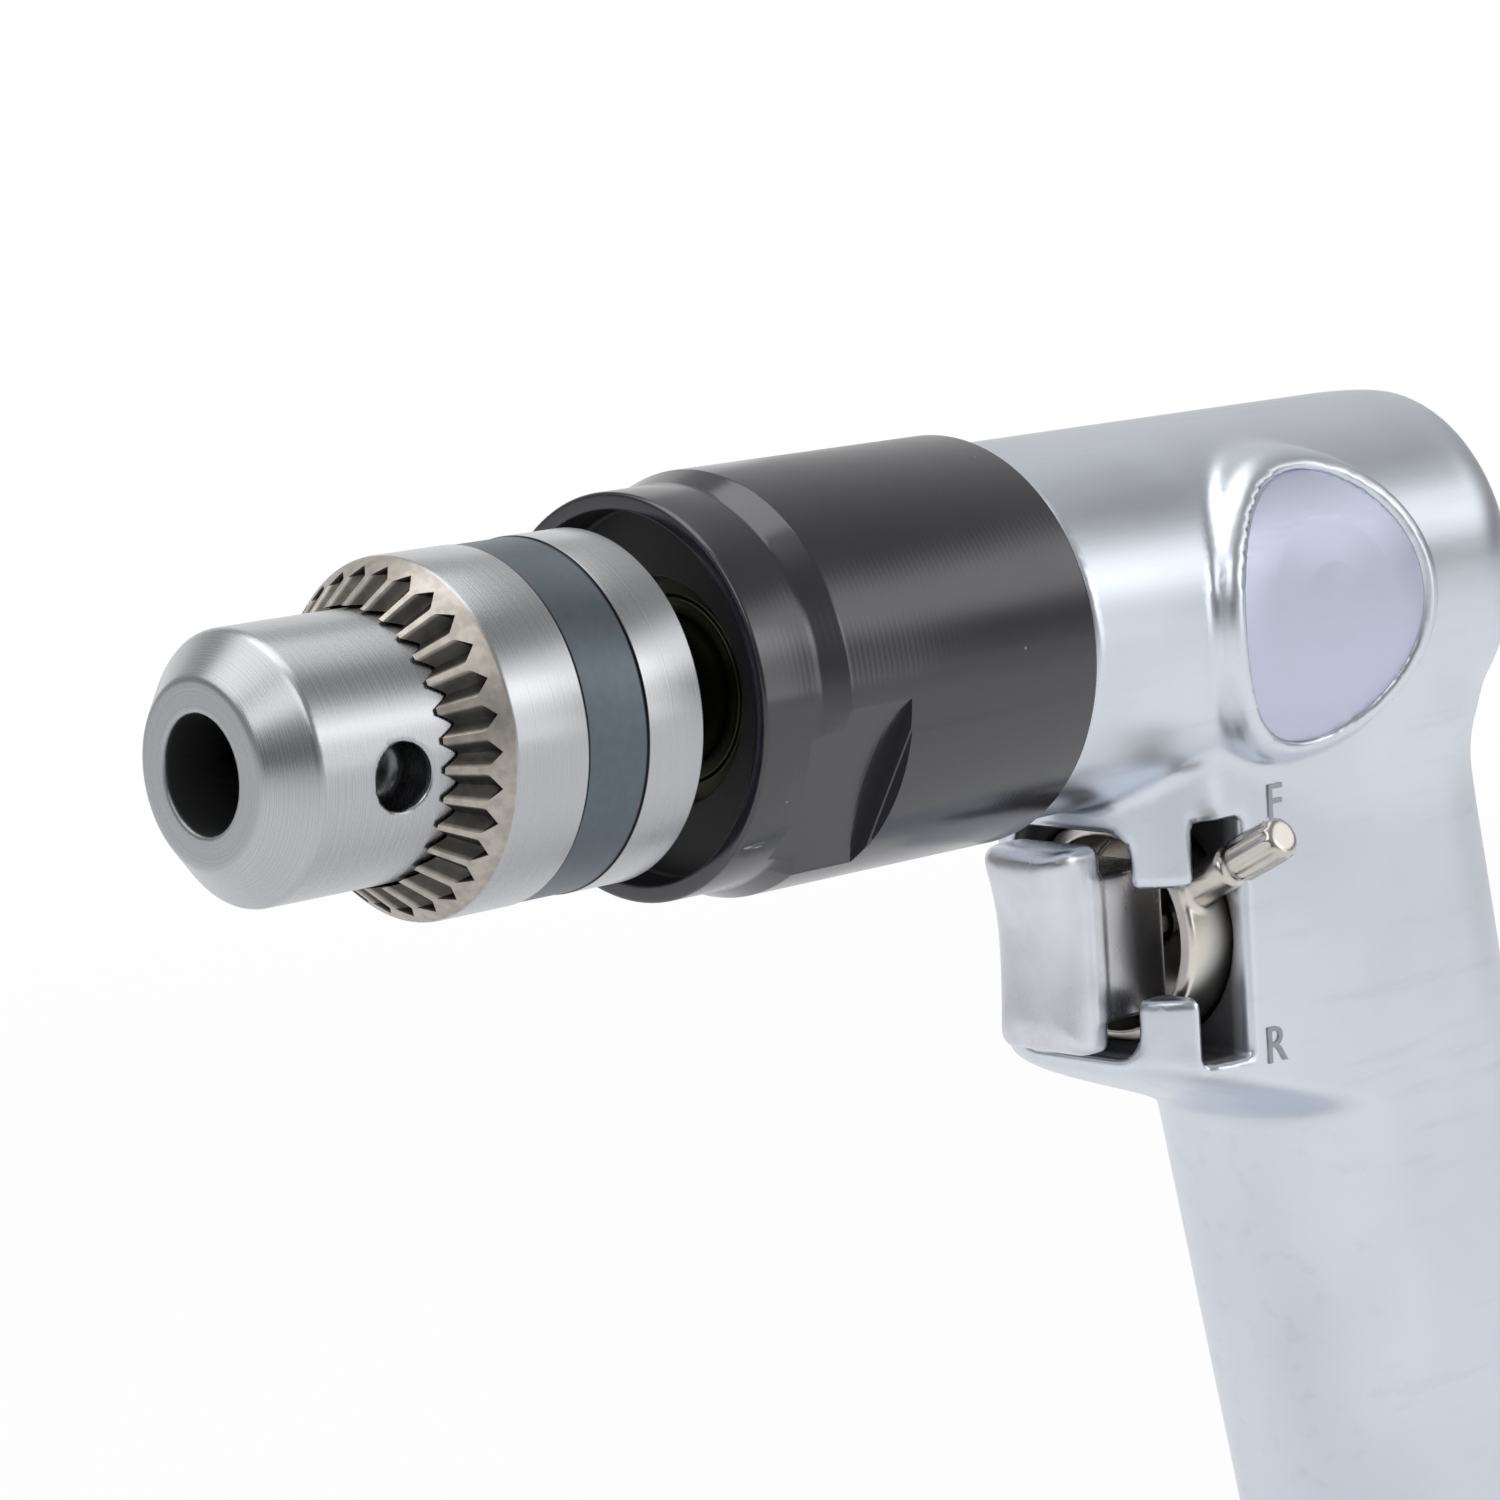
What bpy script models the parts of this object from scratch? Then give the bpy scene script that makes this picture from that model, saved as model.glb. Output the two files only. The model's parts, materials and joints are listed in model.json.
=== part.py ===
"""Reversible pistol-grip air drill with a keyed chuck, built as an assembly of its separate pieces.

Metres, +Z up. The origin is on the flat face under the handle, between the exhaust slots and the
air inlet. The spindle axis is parallel to X at AXIS_Z, the chuck points to -X, and the tool's left
side is -Y.
"""

import math

import bmesh
import bpy
from mathutils import Matrix, Vector

MM = 0.001

# Clearances
SEAT_GAP = 0.3 * MM  # between pieces that sit on each other
RUN_GAP = 0.2 * MM  # on a radius, between a shaft and what it turns or slides in
HALF_SIDE = 5  # degrees a bore's facets are turned, so that no edge of it lies on another's

# Motor housing: a round body along X and a leaning grip below it
AXIS_Z = 130 * MM
HOUSING_FRONT_X = -62 * MM
BODY_HEIGHT_R = 19.5 * MM
BODY_SIDE_R = 21.2 * MM
BODY_FRONT_SIDE_R = 20.4 * MM
BODY_FLARE_LENGTH = 22 * MM
BODY_REAR_LENGTH = 9 * MM
BODY_REAR_SIDE_ROUND = 7 * MM
BODY_REAR_TOP_ROUND = 0.9 * MM
MOTOR_BORE_R = 16 * MM
REAR_WALL = 9.1 * MM
SPIGOT_LENGTH = 9 * MM
SPIGOT_WALL = 2.1 * MM
GRIP_HALF_WIDTH = 14.8 * MM
GRIP_BASE_HALF_WIDTH = 13.8 * MM
GRIP_BASE_FRONT_X = -13 * MM
GRIP_BASE_REAR_X = 26.5 * MM
GRIP_FRONT_LEAN = 0.205
GRIP_REAR_LEAN = 0.15
PALM_SWELL = 1.5 * MM
GRIP_NECK = 7 * MM
GUARD_FRONT_X = -47 * MM
GUARD_CORNER_R = 9 * MM
GUARD_FLOOR = 2.4 * MM

# Label pad on the left side
PAD_X = -28.3 * MM
PAD_R = 16.6 * MM
PAD_CURVE_R = 23.2 * MM
PAD_RIM = 2.6 * MM
PLATE_THICKNESS = 0.7 * MM
PLATE_SINK = 0.5 * MM

# Black front sleeve round the gears
SLEEVE_R = 20.9 * MM
SLEEVE_LENGTH = 44 * MM
SLEEVE_NOSE_R = 19.8 * MM
SLEEVE_NOSE_LENGTH = 7.2 * MM
SLEEVE_CHAMFER_LENGTH = 2.9 * MM
SLEEVE_MOUTH_R = 18.1 * MM
SLEEVE_MOUTH_DEPTH = 5 * MM
SLEEVE_LIP = 1.2 * MM
FLAT_DISTANCE = 18.54 * MM
FLAT_LENGTH = 12 * MM
FLAT_START = 5.9 * MM
FLAT_ANGLE = -31

# Gears
MODULE = 0.7 * MM
SUN_TEETH = 12
PLANET_TEETH = 15
RING_TEETH = SUN_TEETH + 2 * PLANET_TEETH
PLANET_COUNT = 3
BACKLASH = 0.14 * MM
GEAR_WIDTH = 10 * MM
RING_GEAR_R = 17.3 * MM
PIN_R = 2 * MM
CARRIER_R = 13.5 * MM
CARRIER_THICKNESS = 2.8 * MM
BACK_PLATE_THICKNESS = 2.4 * MM

# Spindle and its bearing
SPINDLE_R = 7.3 * MM
SPINDLE_THREAD_R = 4.7 * MM
SPINDLE_SHOULDER_SINK = 1.4 * MM
SPINDLE_THREAD_GAP = 0.5 * MM
SPINDLE_BEARING_R = 14 * MM
SPINDLE_BEARING_WIDTH = 7 * MM

# Air motor
LINER_LENGTH = 42 * MM
LINER_BORE_R = 12.8 * MM
LINER_OFFSET = 1.3 * MM
ROTOR_R = 11.1 * MM
SHAFT_R = 3.9 * MM
PINION_SHAFT_R = 3.2 * MM
VANE_COUNT = 5
VANE_THICKNESS = 1.2 * MM
VANE_DEPTH = 6 * MM
ROTOR_BEARING_R = 9.5 * MM
ROTOR_BEARING_WIDTH = 5.6 * MM
END_PLATE_THICKNESS = 4.5 * MM
DOWEL_R = 1 * MM
DOWEL_RADIUS = 13.6 * MM
FRONT_PLATE_SETBACK = 1.5 * MM

# Chuck
CHUCK_GAP = 5.1 * MM
CHUCK_SLEEVE_LENGTH = 27.6 * MM
CHUCK_SLEEVE_R = 17 * MM
CHUCK_NOSE_LENGTH = 17.3 * MM
CHUCK_NOSE_R = 12.7 * MM
CHUCK_FACE_R = 8.7 * MM
CHUCK_CONE_LENGTH = 3.8 * MM
CHUCK_BORE_R = 5.5 * MM
CHUCK_BORE_DEPTH = 27 * MM
CHUCK_WEB = 4 * MM
CHUCK_THREAD_R = 5 * MM
CHUCK_FLANGE_LENGTH = 4.5 * MM
CHUCK_TEETH = 30
BEVEL_LENGTH = 5.1 * MM
BEVEL_TOOTH_LENGTH = 3.1 * MM
TOOTH_DEPTH = 1.2 * MM
KEY_HOLE_R = 3.25 * MM
KEY_HOLE_DEPTH = 5 * MM
KEY_HOLE_SETBACK = 4.3 * MM
KEY_HOLE_ANGLE = -6
NUT_FRONT = 27 * MM
NUT_LENGTH = 7.2 * MM
NUT_R = 14.6 * MM
JAW_COUNT = 3
JAW_R = 2.6 * MM
JAW_LENGTH = 21 * MM
JAW_SLOPE = 16
JAW_OPEN_R = 5 * MM
JAW_TRAVEL = 16 * MM
JAW_TIP_CLOSED = 1.8 * MM
JAW_AXIS_RISE = 0.6 * MM
CHUCK_SCREW_R = 2.3 * MM
CHUCK_SCREW_HEAD_R = 3.3 * MM
CHUCK_SCREW_HEAD = 2.8 * MM
CHUCK_SCREW_DEPTH = 9.5 * MM

# Trigger and valves, all on one line below the spindle axis
VALVE_DROP = 33.8 * MM
TRIGGER_POCKET_HALF_WIDTH = 8.5 * MM
TRIGGER_POCKET_HALF_HEIGHT = 11.9 * MM
TRIGGER_POCKET_CORNER = 3 * MM
POCKET_R = 12.4 * MM
POCKET_BACK_X = -31.8 * MM
NOTCH_TOP = 6.2 * MM
NOTCH_BOTTOM = 5.4 * MM
LEVER_SLOT_FRONT_X = -42 * MM
LEVER_SLOT_WIDTH = 6.2 * MM
LEVER_SLOT_HALF_HEIGHT = 12.7 * MM
LEVER_RING_WALL = 1.8 * MM
LEVER_FLOOR = 1.5 * MM
LEVER_PIN_R = 2.4 * MM
LEVER_REACH = 26 * MM
LEVER_ANGLE = 27
TRIGGER_FRONT_X = -52.5 * MM
TRIGGER_HALF_WIDTH = 6 * MM
TRIGGER_HALF_HEIGHT = 10.9 * MM
TRIGGER_PAD_DEPTH = 4.5 * MM
TRIGGER_TAIL_HALF_HEIGHT = 7.8 * MM
TRIGGER_HORN = 2.2 * MM
TRIGGER_TRAVEL = 5 * MM
STEM_R = 2 * MM
STEM_SOCKET = 4 * MM
SPOOL_R = 8.2 * MM
SPOOL_LENGTH = 16.4 * MM
SPOOL_WALL = 3.4 * MM
SPOOL_BORE_R = 5 * MM
SPOOL_PORT_R = 2.2 * MM
SEAL_WIDTH = 2 * MM
SEAT_LENGTH = 2.2 * MM
SEAT_HOLE_R = 3.2 * MM
CHAMBER_R = 7 * MM
VALVE_HEAD_R = 5 * MM
VALVE_HEAD_LENGTH = 4 * MM
VALVE_GUIDE_R = 2 * MM
VALVE_GUIDE_LENGTH = 6 * MM
SPRING_R = 3.6 * MM
SPRING_WIRE_R = 0.5 * MM
SPRING_LENGTH = 11 * MM
SPRING_TURNS = 4
DETENT_R = 1.4 * MM
DETENT_DROP = 10.45 * MM
DETENT_SPRING_LENGTH = 5 * MM

# Base of the grip
CAP_THICKNESS = 6 * MM
CAP_FLOOR = 2 * MM
INLET_X = 12 * MM
INLET_BORE_R = 5.7 * MM
INLET_THREAD_R = 7.8 * MM
INLET_HEX = 17 * MM
INLET_HEAD = 8.4 * MM
INLET_RECESS = 0.8 * MM
INLET_LENGTH = 21.4 * MM
SCREEN_THICKNESS = 0.8 * MM
AIR_PASSAGE_R = 5.5 * MM
EXHAUST_R = 2.4 * MM
EXHAUST_TOP_X = -11 * MM
EXHAUST_BASE_X = -4 * MM
EXHAUST_TOP_Y = 11.6 * MM
EXHAUST_BASE_Y = 6 * MM
MUFFLER_HALF_WIDTH = 6 * MM
MUFFLER_LENGTH = 10 * MM
MUFFLER_FRONT_X = -10.5 * MM
CAP_SCREW_X = 2 * MM
CAP_SCREW_Y = 10.4 * MM
CAP_SCREW_R = 1.5 * MM
CAP_SCREW_HEAD_R = 2.6 * MM
CAP_SCREW_LENGTH = 13 * MM

# Stations along the spindle axis, worked out from the sizes above
SLEEVE_FRONT_X = HOUSING_FRONT_X - SLEEVE_LENGTH
CHUCK_BACK_X = SLEEVE_FRONT_X - CHUCK_GAP
CHUCK_SLEEVE_FRONT_X = CHUCK_BACK_X - CHUCK_SLEEVE_LENGTH
NOSE_X = CHUCK_SLEEVE_FRONT_X - CHUCK_NOSE_LENGTH
SPINDLE_SHOULDER_X = CHUCK_BACK_X + SPINDLE_SHOULDER_SINK
SPINDLE_THREAD_X = NOSE_X + CHUCK_BORE_DEPTH + CHUCK_WEB + SPINDLE_THREAD_GAP
SPIGOT_R = MOTOR_BORE_R + SPIGOT_WALL
SPIGOT_FRONT_X = HOUSING_FRONT_X - SPIGOT_LENGTH
BEARING_FRONT_X = SLEEVE_FRONT_X + SLEEVE_MOUTH_DEPTH + SLEEVE_LIP + SEAT_GAP
BEARING_BACK_X = BEARING_FRONT_X + SPINDLE_BEARING_WIDTH
GEAR_CASE_FRONT_X = BEARING_BACK_X + SEAT_GAP
CARRIER_FRONT_X = GEAR_CASE_FRONT_X + 2 * SEAT_GAP
CARRIER_BACK_X = CARRIER_FRONT_X + CARRIER_THICKNESS
PLANET_FRONT_X = CARRIER_BACK_X + SEAT_GAP
PLANET_BACK_X = PLANET_FRONT_X + GEAR_WIDTH
BACK_PLATE_X = PLANET_BACK_X + SEAT_GAP
FRONT_PLATE_X = HOUSING_FRONT_X + FRONT_PLATE_SETBACK
BOSS_LENGTH = ROTOR_BEARING_WIDTH + SEAT_GAP
LINER_X = FRONT_PLATE_X + END_PLATE_THICKNESS + SEAT_GAP
LINER_BACK_X = LINER_X + LINER_LENGTH
REAR_PLATE_X = LINER_BACK_X + SEAT_GAP
REAR_PLATE_BACK_X = REAR_PLATE_X + END_PLATE_THICKNESS
MOTOR_BORE_BACK_X = REAR_PLATE_BACK_X + BOSS_LENGTH + 3 * SEAT_GAP
HOUSING_REAR_X = MOTOR_BORE_BACK_X + REAR_WALL
MOTOR_R = MOTOR_BORE_R - SEAT_GAP
VALVE_Z = AXIS_Z - VALVE_DROP
PLANET_ORBIT_R = MODULE * (SUN_TEETH + PLANET_TEETH) / 2
LEVER_PIN_X = LEVER_SLOT_FRONT_X + LEVER_SLOT_WIDTH / 2
LEVER_RING_X = LEVER_PIN_X - LEVER_PIN_R
LEVER_R = POCKET_R - SEAT_GAP
LEVER_BACK_X = POCKET_BACK_X - SEAT_GAP
SPOOL_X = POCKET_BACK_X + SEAT_GAP
SPOOL_BACK_X = SPOOL_X + SPOOL_LENGTH
VALVE_SEAT_X = SPOOL_BACK_X + SEAT_GAP
VALVE_SEAT_BACK_X = VALVE_SEAT_X + SEAT_LENGTH
VALVE_HEAD_X = VALVE_SEAT_BACK_X + SEAT_GAP
SPRING_X = VALVE_HEAD_X + VALVE_HEAD_LENGTH + SEAT_GAP
CHAMBER_BACK_X = SPRING_X + SPRING_LENGTH + SEAT_GAP
TRIGGER_TAIL_X = LEVER_BACK_X - LEVER_FLOOR - TRIGGER_TRAVEL - SEAT_GAP
GRIP_BASE_Z = CAP_THICKNESS + SEAT_GAP
JAW_TAN = math.tan(math.radians(JAW_SLOPE))
JAW_COS = math.cos(math.radians(JAW_SLOPE))
JAW_TIP_X = NOSE_X + JAW_TIP_CLOSED + JAW_TRAVEL * JAW_COS
JAW_TIP_AXIS_R = JAW_OPEN_R + JAW_AXIS_RISE


def finish(name, color, roughness, metallic):
    """A plain Principled material."""
    material = bpy.data.materials.new(name)
    material.use_nodes = True
    shader = material.node_tree.nodes["Principled BSDF"]
    shader.inputs["Base Color"].default_value = (*color, 1)
    shader.inputs["Roughness"].default_value = roughness
    shader.inputs["Metallic"].default_value = metallic
    return material


def make(name, points, faces, location=(0, 0, 0)):
    """An object from points and faces, with its faces turned outward and its curves shaded smooth."""
    mesh = bpy.data.meshes.new(name)
    mesh.from_pydata([tuple(point) for point in points], [], faces)
    work = bmesh.new()
    work.from_mesh(mesh)
    bmesh.ops.recalc_face_normals(work, faces=work.faces)
    work.to_mesh(mesh)
    work.free()
    mesh.shade_smooth()
    mesh.set_sharp_from_angle(angle=math.radians(35))
    item = bpy.data.objects.new(name, mesh)
    item.location = location
    bpy.context.scene.collection.objects.link(item)
    return item


def turned(name, profile, sides=24, at=(0, 0), sweep=360, start=0, zigzag=None):
    """Turns an outline of (x, radius) pairs about the line parallel to X through at = (y, z).

    An outline with no point on the line closes on itself. A sweep under 360 degrees gets flat ends.
    zigzag maps an outline point's index to the distance that every second point of its ring moves in X.
    """
    full = sweep >= 360
    count = sides if full else sides + 1
    zigzag = zigzag or {}
    points, rings = [], []
    for index, (x, radius) in enumerate(profile):
        if radius == 0:
            rings.append([len(points)] * count)
            points.append((x, 0, 0))
            continue
        rings.append(list(range(len(points), len(points) + count)))
        for side in range(count):
            angle = math.radians(start + sweep * side / sides)
            shift = zigzag.get(index, 0) * (side % 2)
            points.append((x + shift, -radius * math.cos(angle), radius * math.sin(angle)))
    open_outline = profile[0][1] == 0
    faces = []
    for index in range(len(rings) - open_outline):
        here, there = rings[index], rings[(index + 1) % len(rings)]
        for side in range(sides):
            after = (side + 1) % count
            corners = (here[side], here[after], there[after], there[side])
            face = list(dict.fromkeys(corners))
            if len(face) > 2:
                faces.append(face)
    if not full:
        faces.append([ring[0] for ring in rings])
        faces.append([ring[-1] for ring in rings])
    return make(name, points, faces, (0, *at))


def standing(name, profile, sides=24, at=(0, 0)):
    """The same as turned, about a line parallel to Z: the outline is (z, radius) pairs."""
    item = turned(name, profile, sides)
    item.data.transform(Matrix.Rotation(math.radians(-90), 4, "Y"))
    item.location = (*at, 0)
    return item


def extruded(name, outline, low, high, axis):
    """Pulls an outline of (a, b) pairs along X, Y or Z; a and b are the other two axes in order."""
    place = {
        "X": lambda a, b, t: (t, a, b),
        "Y": lambda a, b, t: (a, t, b),
        "Z": lambda a, b, t: (a, b, t),
    }[axis]
    count = len(outline)
    points = [place(a, b, t) for t in (low, high) for a, b in outline]
    faces = [list(range(count)), list(range(count, 2 * count))]
    for index in range(count):
        after = (index + 1) % count
        faces.append([index, after, count + after, count + index])
    return make(name, points, faces)


def block(name, low, high):
    """A box between two corners."""
    outline = [(low[0], low[1]), (high[0], low[1]), (high[0], high[1]), (low[0], high[1])]
    return extruded(name, outline, low[2], high[2], "Z")


def rod(name, start, end, radius, sides=16):
    """A round bar from start to end."""
    start, end = Vector(start), Vector(end)
    along = end - start
    turn = along.to_track_quat("Z", "Y").to_matrix().to_4x4()
    work = bmesh.new()
    bmesh.ops.create_cone(
        work,
        cap_ends=True,
        segments=sides,
        radius1=radius,
        radius2=radius,
        depth=along.length,
        matrix=Matrix.Translation((start + end) / 2) @ turn,
    )
    points = [vertex.co.copy() for vertex in work.verts]
    faces = [[vertex.index for vertex in face.verts] for face in work.faces]
    work.free()
    return make(name, points, faces)


def lofted(name, rings):
    """Joins equal rings of points in order, with a flat cap at each end."""
    count = len(rings[0])
    points = [point for ring in rings for point in ring]
    faces = [list(range(count)), list(range(len(points) - count, len(points)))]
    for row in range(len(rings) - 1):
        for side in range(count):
            after = (side + 1) % count
            first, second = row * count, (row + 1) * count
            faces.append([first + side, first + after, second + after, second + side])
    return make(name, points, faces)


def helix(name, start_x, length, radius, wire_r, turns, at, steps=9, sides=4):
    """A coil spring along X as one closed wire."""
    total = turns * steps
    rings = []
    for step in range(total + 1):
        angle = 2 * math.pi * step / steps
        x = start_x + wire_r + (length - 2 * wire_r) * step / total
        ring = []
        for side in range(sides):
            around = 2 * math.pi * side / sides
            reach = radius + wire_r * math.cos(around)
            y, z = reach * math.cos(angle), reach * math.sin(angle)
            ring.append((x + wire_r * math.sin(around), at[0] + y, at[1] + z))
        rings.append(ring)
    return lofted(name, rings)


def combine(target, operation, *tools):
    """Adds one Boolean step for each tool, and leaves the tools out of the model."""
    for tool in tools:
        step = target.modifiers.new(tool.name, "BOOLEAN")
        step.operation = operation
        step.object = tool
        tool.hide_render = True
        tool.display_type = "WIRE"
    return target


def cut(target, *tools):
    return combine(target, "DIFFERENCE", *tools)


def paint(item, color, roughness, metallic):
    item.data.materials.append(finish(item.name, color, roughness, metallic))
    return item


def direction(angle):
    """Unit vector across the spindle axis: 0 degrees is the tool's left, 90 degrees is up."""
    turn = math.radians(angle)
    return Vector((0, -math.cos(turn), math.sin(turn)))


STEEL = ((0.55, 0.55, 0.56), 0.3, 1)
DARK_STEEL = ((0.2, 0.2, 0.21), 0.4, 1)
ALUMINIUM = ((0.8, 0.81, 0.83), 0.25, 1)
BLACK = ((0.02, 0.022, 0.028), 0.35, 0.3)
RUBBER = ((0.02, 0.02, 0.02), 0.8, 0)
BRASS = ((0.75, 0.6, 0.3), 0.35, 1)
COMPOSITE = ((0.25, 0.17, 0.1), 0.7, 0)
FELT = ((0.5, 0.5, 0.48), 0.95, 0)


def body_ring(x, side_r=BODY_SIDE_R, height_r=BODY_HEIGHT_R):
    """Oval cross-section of the motor body."""
    sides = 32
    ring = []
    for side in range(sides):
        angle = 2 * math.pi * side / sides
        ring.append((x, side_r * math.cos(angle), AXIS_Z + height_r * math.sin(angle)))
    return ring


def grip_ring(z, front, rear, half, corner, inset=0):
    """Outline of the grip at height z: round at the rear, with two rounded corners in front."""
    front, rear, half = front + inset, rear - inset, half - inset
    corner = min(max(corner - inset, MM), half)
    corner_steps, rear_steps = 5, 12
    ring = []
    for step in range(rear_steps + 1):
        angle = math.radians(-90 + 180 * step / rear_steps)
        ring.append((rear - half + half * math.cos(angle), half * math.sin(angle), z))
    for sign, first in ((1, 90), (-1, 180)):
        for step in range(corner_steps + 1):
            angle = math.radians(first + 90 * step / corner_steps)
            x = front + corner + corner * math.cos(angle)
            ring.append((x, sign * (half - corner) + corner * math.sin(angle), z))
    return ring


def grip_front(z):
    return GRIP_BASE_FRONT_X - GRIP_FRONT_LEAN * z


def grip_rear(z):
    """Leaning back line with a palm swell, rounded forward into the motor body at its top."""
    share = z / AXIS_Z
    straight = GRIP_BASE_REAR_X - GRIP_REAR_LEAN * z + 4 * PALM_SWELL * share * (1 - share)
    above = max(z - (AXIS_Z - 1.3 * BODY_HEIGHT_R), 0) / BODY_HEIGHT_R
    return straight - GRIP_NECK * above**1.5


def grip_half(z):
    share = min(z / (VALVE_Z - POCKET_R), 1)
    return GRIP_BASE_HALF_WIDTH + (GRIP_HALF_WIDTH - GRIP_BASE_HALF_WIDTH) * share


def grip_rings():
    """The grip from its base up into the motor body, stepping forward into the trigger guard."""
    guard_low = VALVE_Z - POCKET_R - GUARD_FLOOR
    rings = []
    for z in (GRIP_BASE_Z, guard_low / 2, guard_low - 12 * MM):
        half = grip_half(z)
        rings.append(grip_ring(z, grip_front(z), grip_rear(z), half, half))
    # (height in mm against the guard's floor, how much of the way forward to the guard's front)
    steps = ((-7, 0.06), (-4, 0.34), (-1.5, 0.64), (1, 0.94), (4, 1))
    for rise, forward in steps:
        z = guard_low + rise * MM
        half = grip_half(z)
        front = grip_front(z) + (GUARD_FRONT_X - grip_front(z)) * forward
        corner = half + (GUARD_CORNER_R - half) * forward
        rings.append(grip_ring(z, front, grip_rear(z), half, corner))
    body_low = AXIS_Z - BODY_HEIGHT_R
    for z in (VALVE_Z, body_low, body_low + 0.25 * BODY_HEIGHT_R, body_low + 0.5 * BODY_HEIGHT_R):
        rings.append(grip_ring(z, GUARD_FRONT_X, grip_rear(z), grip_half(z), GUARD_CORNER_R))
    return rings


def wrapped_disc(name, radius, inner, outer, sides=28, rings=2):
    """A round piece wrapped on the left side: its faces lie on the cylinders inner and outer."""
    points, faces = [], []
    for curve in (outer, inner):
        points.append((PAD_X, -curve, AXIS_Z))
        for ring in range(1, rings + 1):
            for side in range(sides):
                angle = 2 * math.pi * side / sides
                across = radius * ring / rings * math.cos(angle)
                up = radius * ring / rings * math.sin(angle)
                y = -math.sqrt(curve * curve - up * up)
                points.append((PAD_X + across, y, AXIS_Z + up))
    layer = 1 + rings * sides
    for first in (0, layer):
        for side in range(sides):
            after = (side + 1) % sides
            faces.append([first, first + 1 + side, first + 1 + after])
            for ring in range(rings - 1):
                base = first + 1 + ring * sides
                faces.append([base + side, base + after, base + sides + after, base + sides + side])
    rim = 1 + (rings - 1) * sides
    for side in range(sides):
        after = (side + 1) % sides
        faces.append([rim + side, rim + after, layer + rim + after, layer + rim + side])
    return make(name, points, faces)


def rounded_box(half_width, half_height, corner, middle, steps=3):
    """Outline in Y and Z with rounded corners, centred at the height middle."""
    outline = []
    for sign_y, sign_z, first in ((1, 1, 0), (-1, 1, 90), (-1, -1, 180), (1, -1, 270)):
        for step in range(steps + 1):
            turn = math.radians(first + 90 * step / steps)
            y = sign_y * (half_width - corner) + corner * math.cos(turn)
            z = sign_z * (half_height - corner) + corner * math.sin(turn)
            outline.append((y, middle + z))
    return outline


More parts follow.
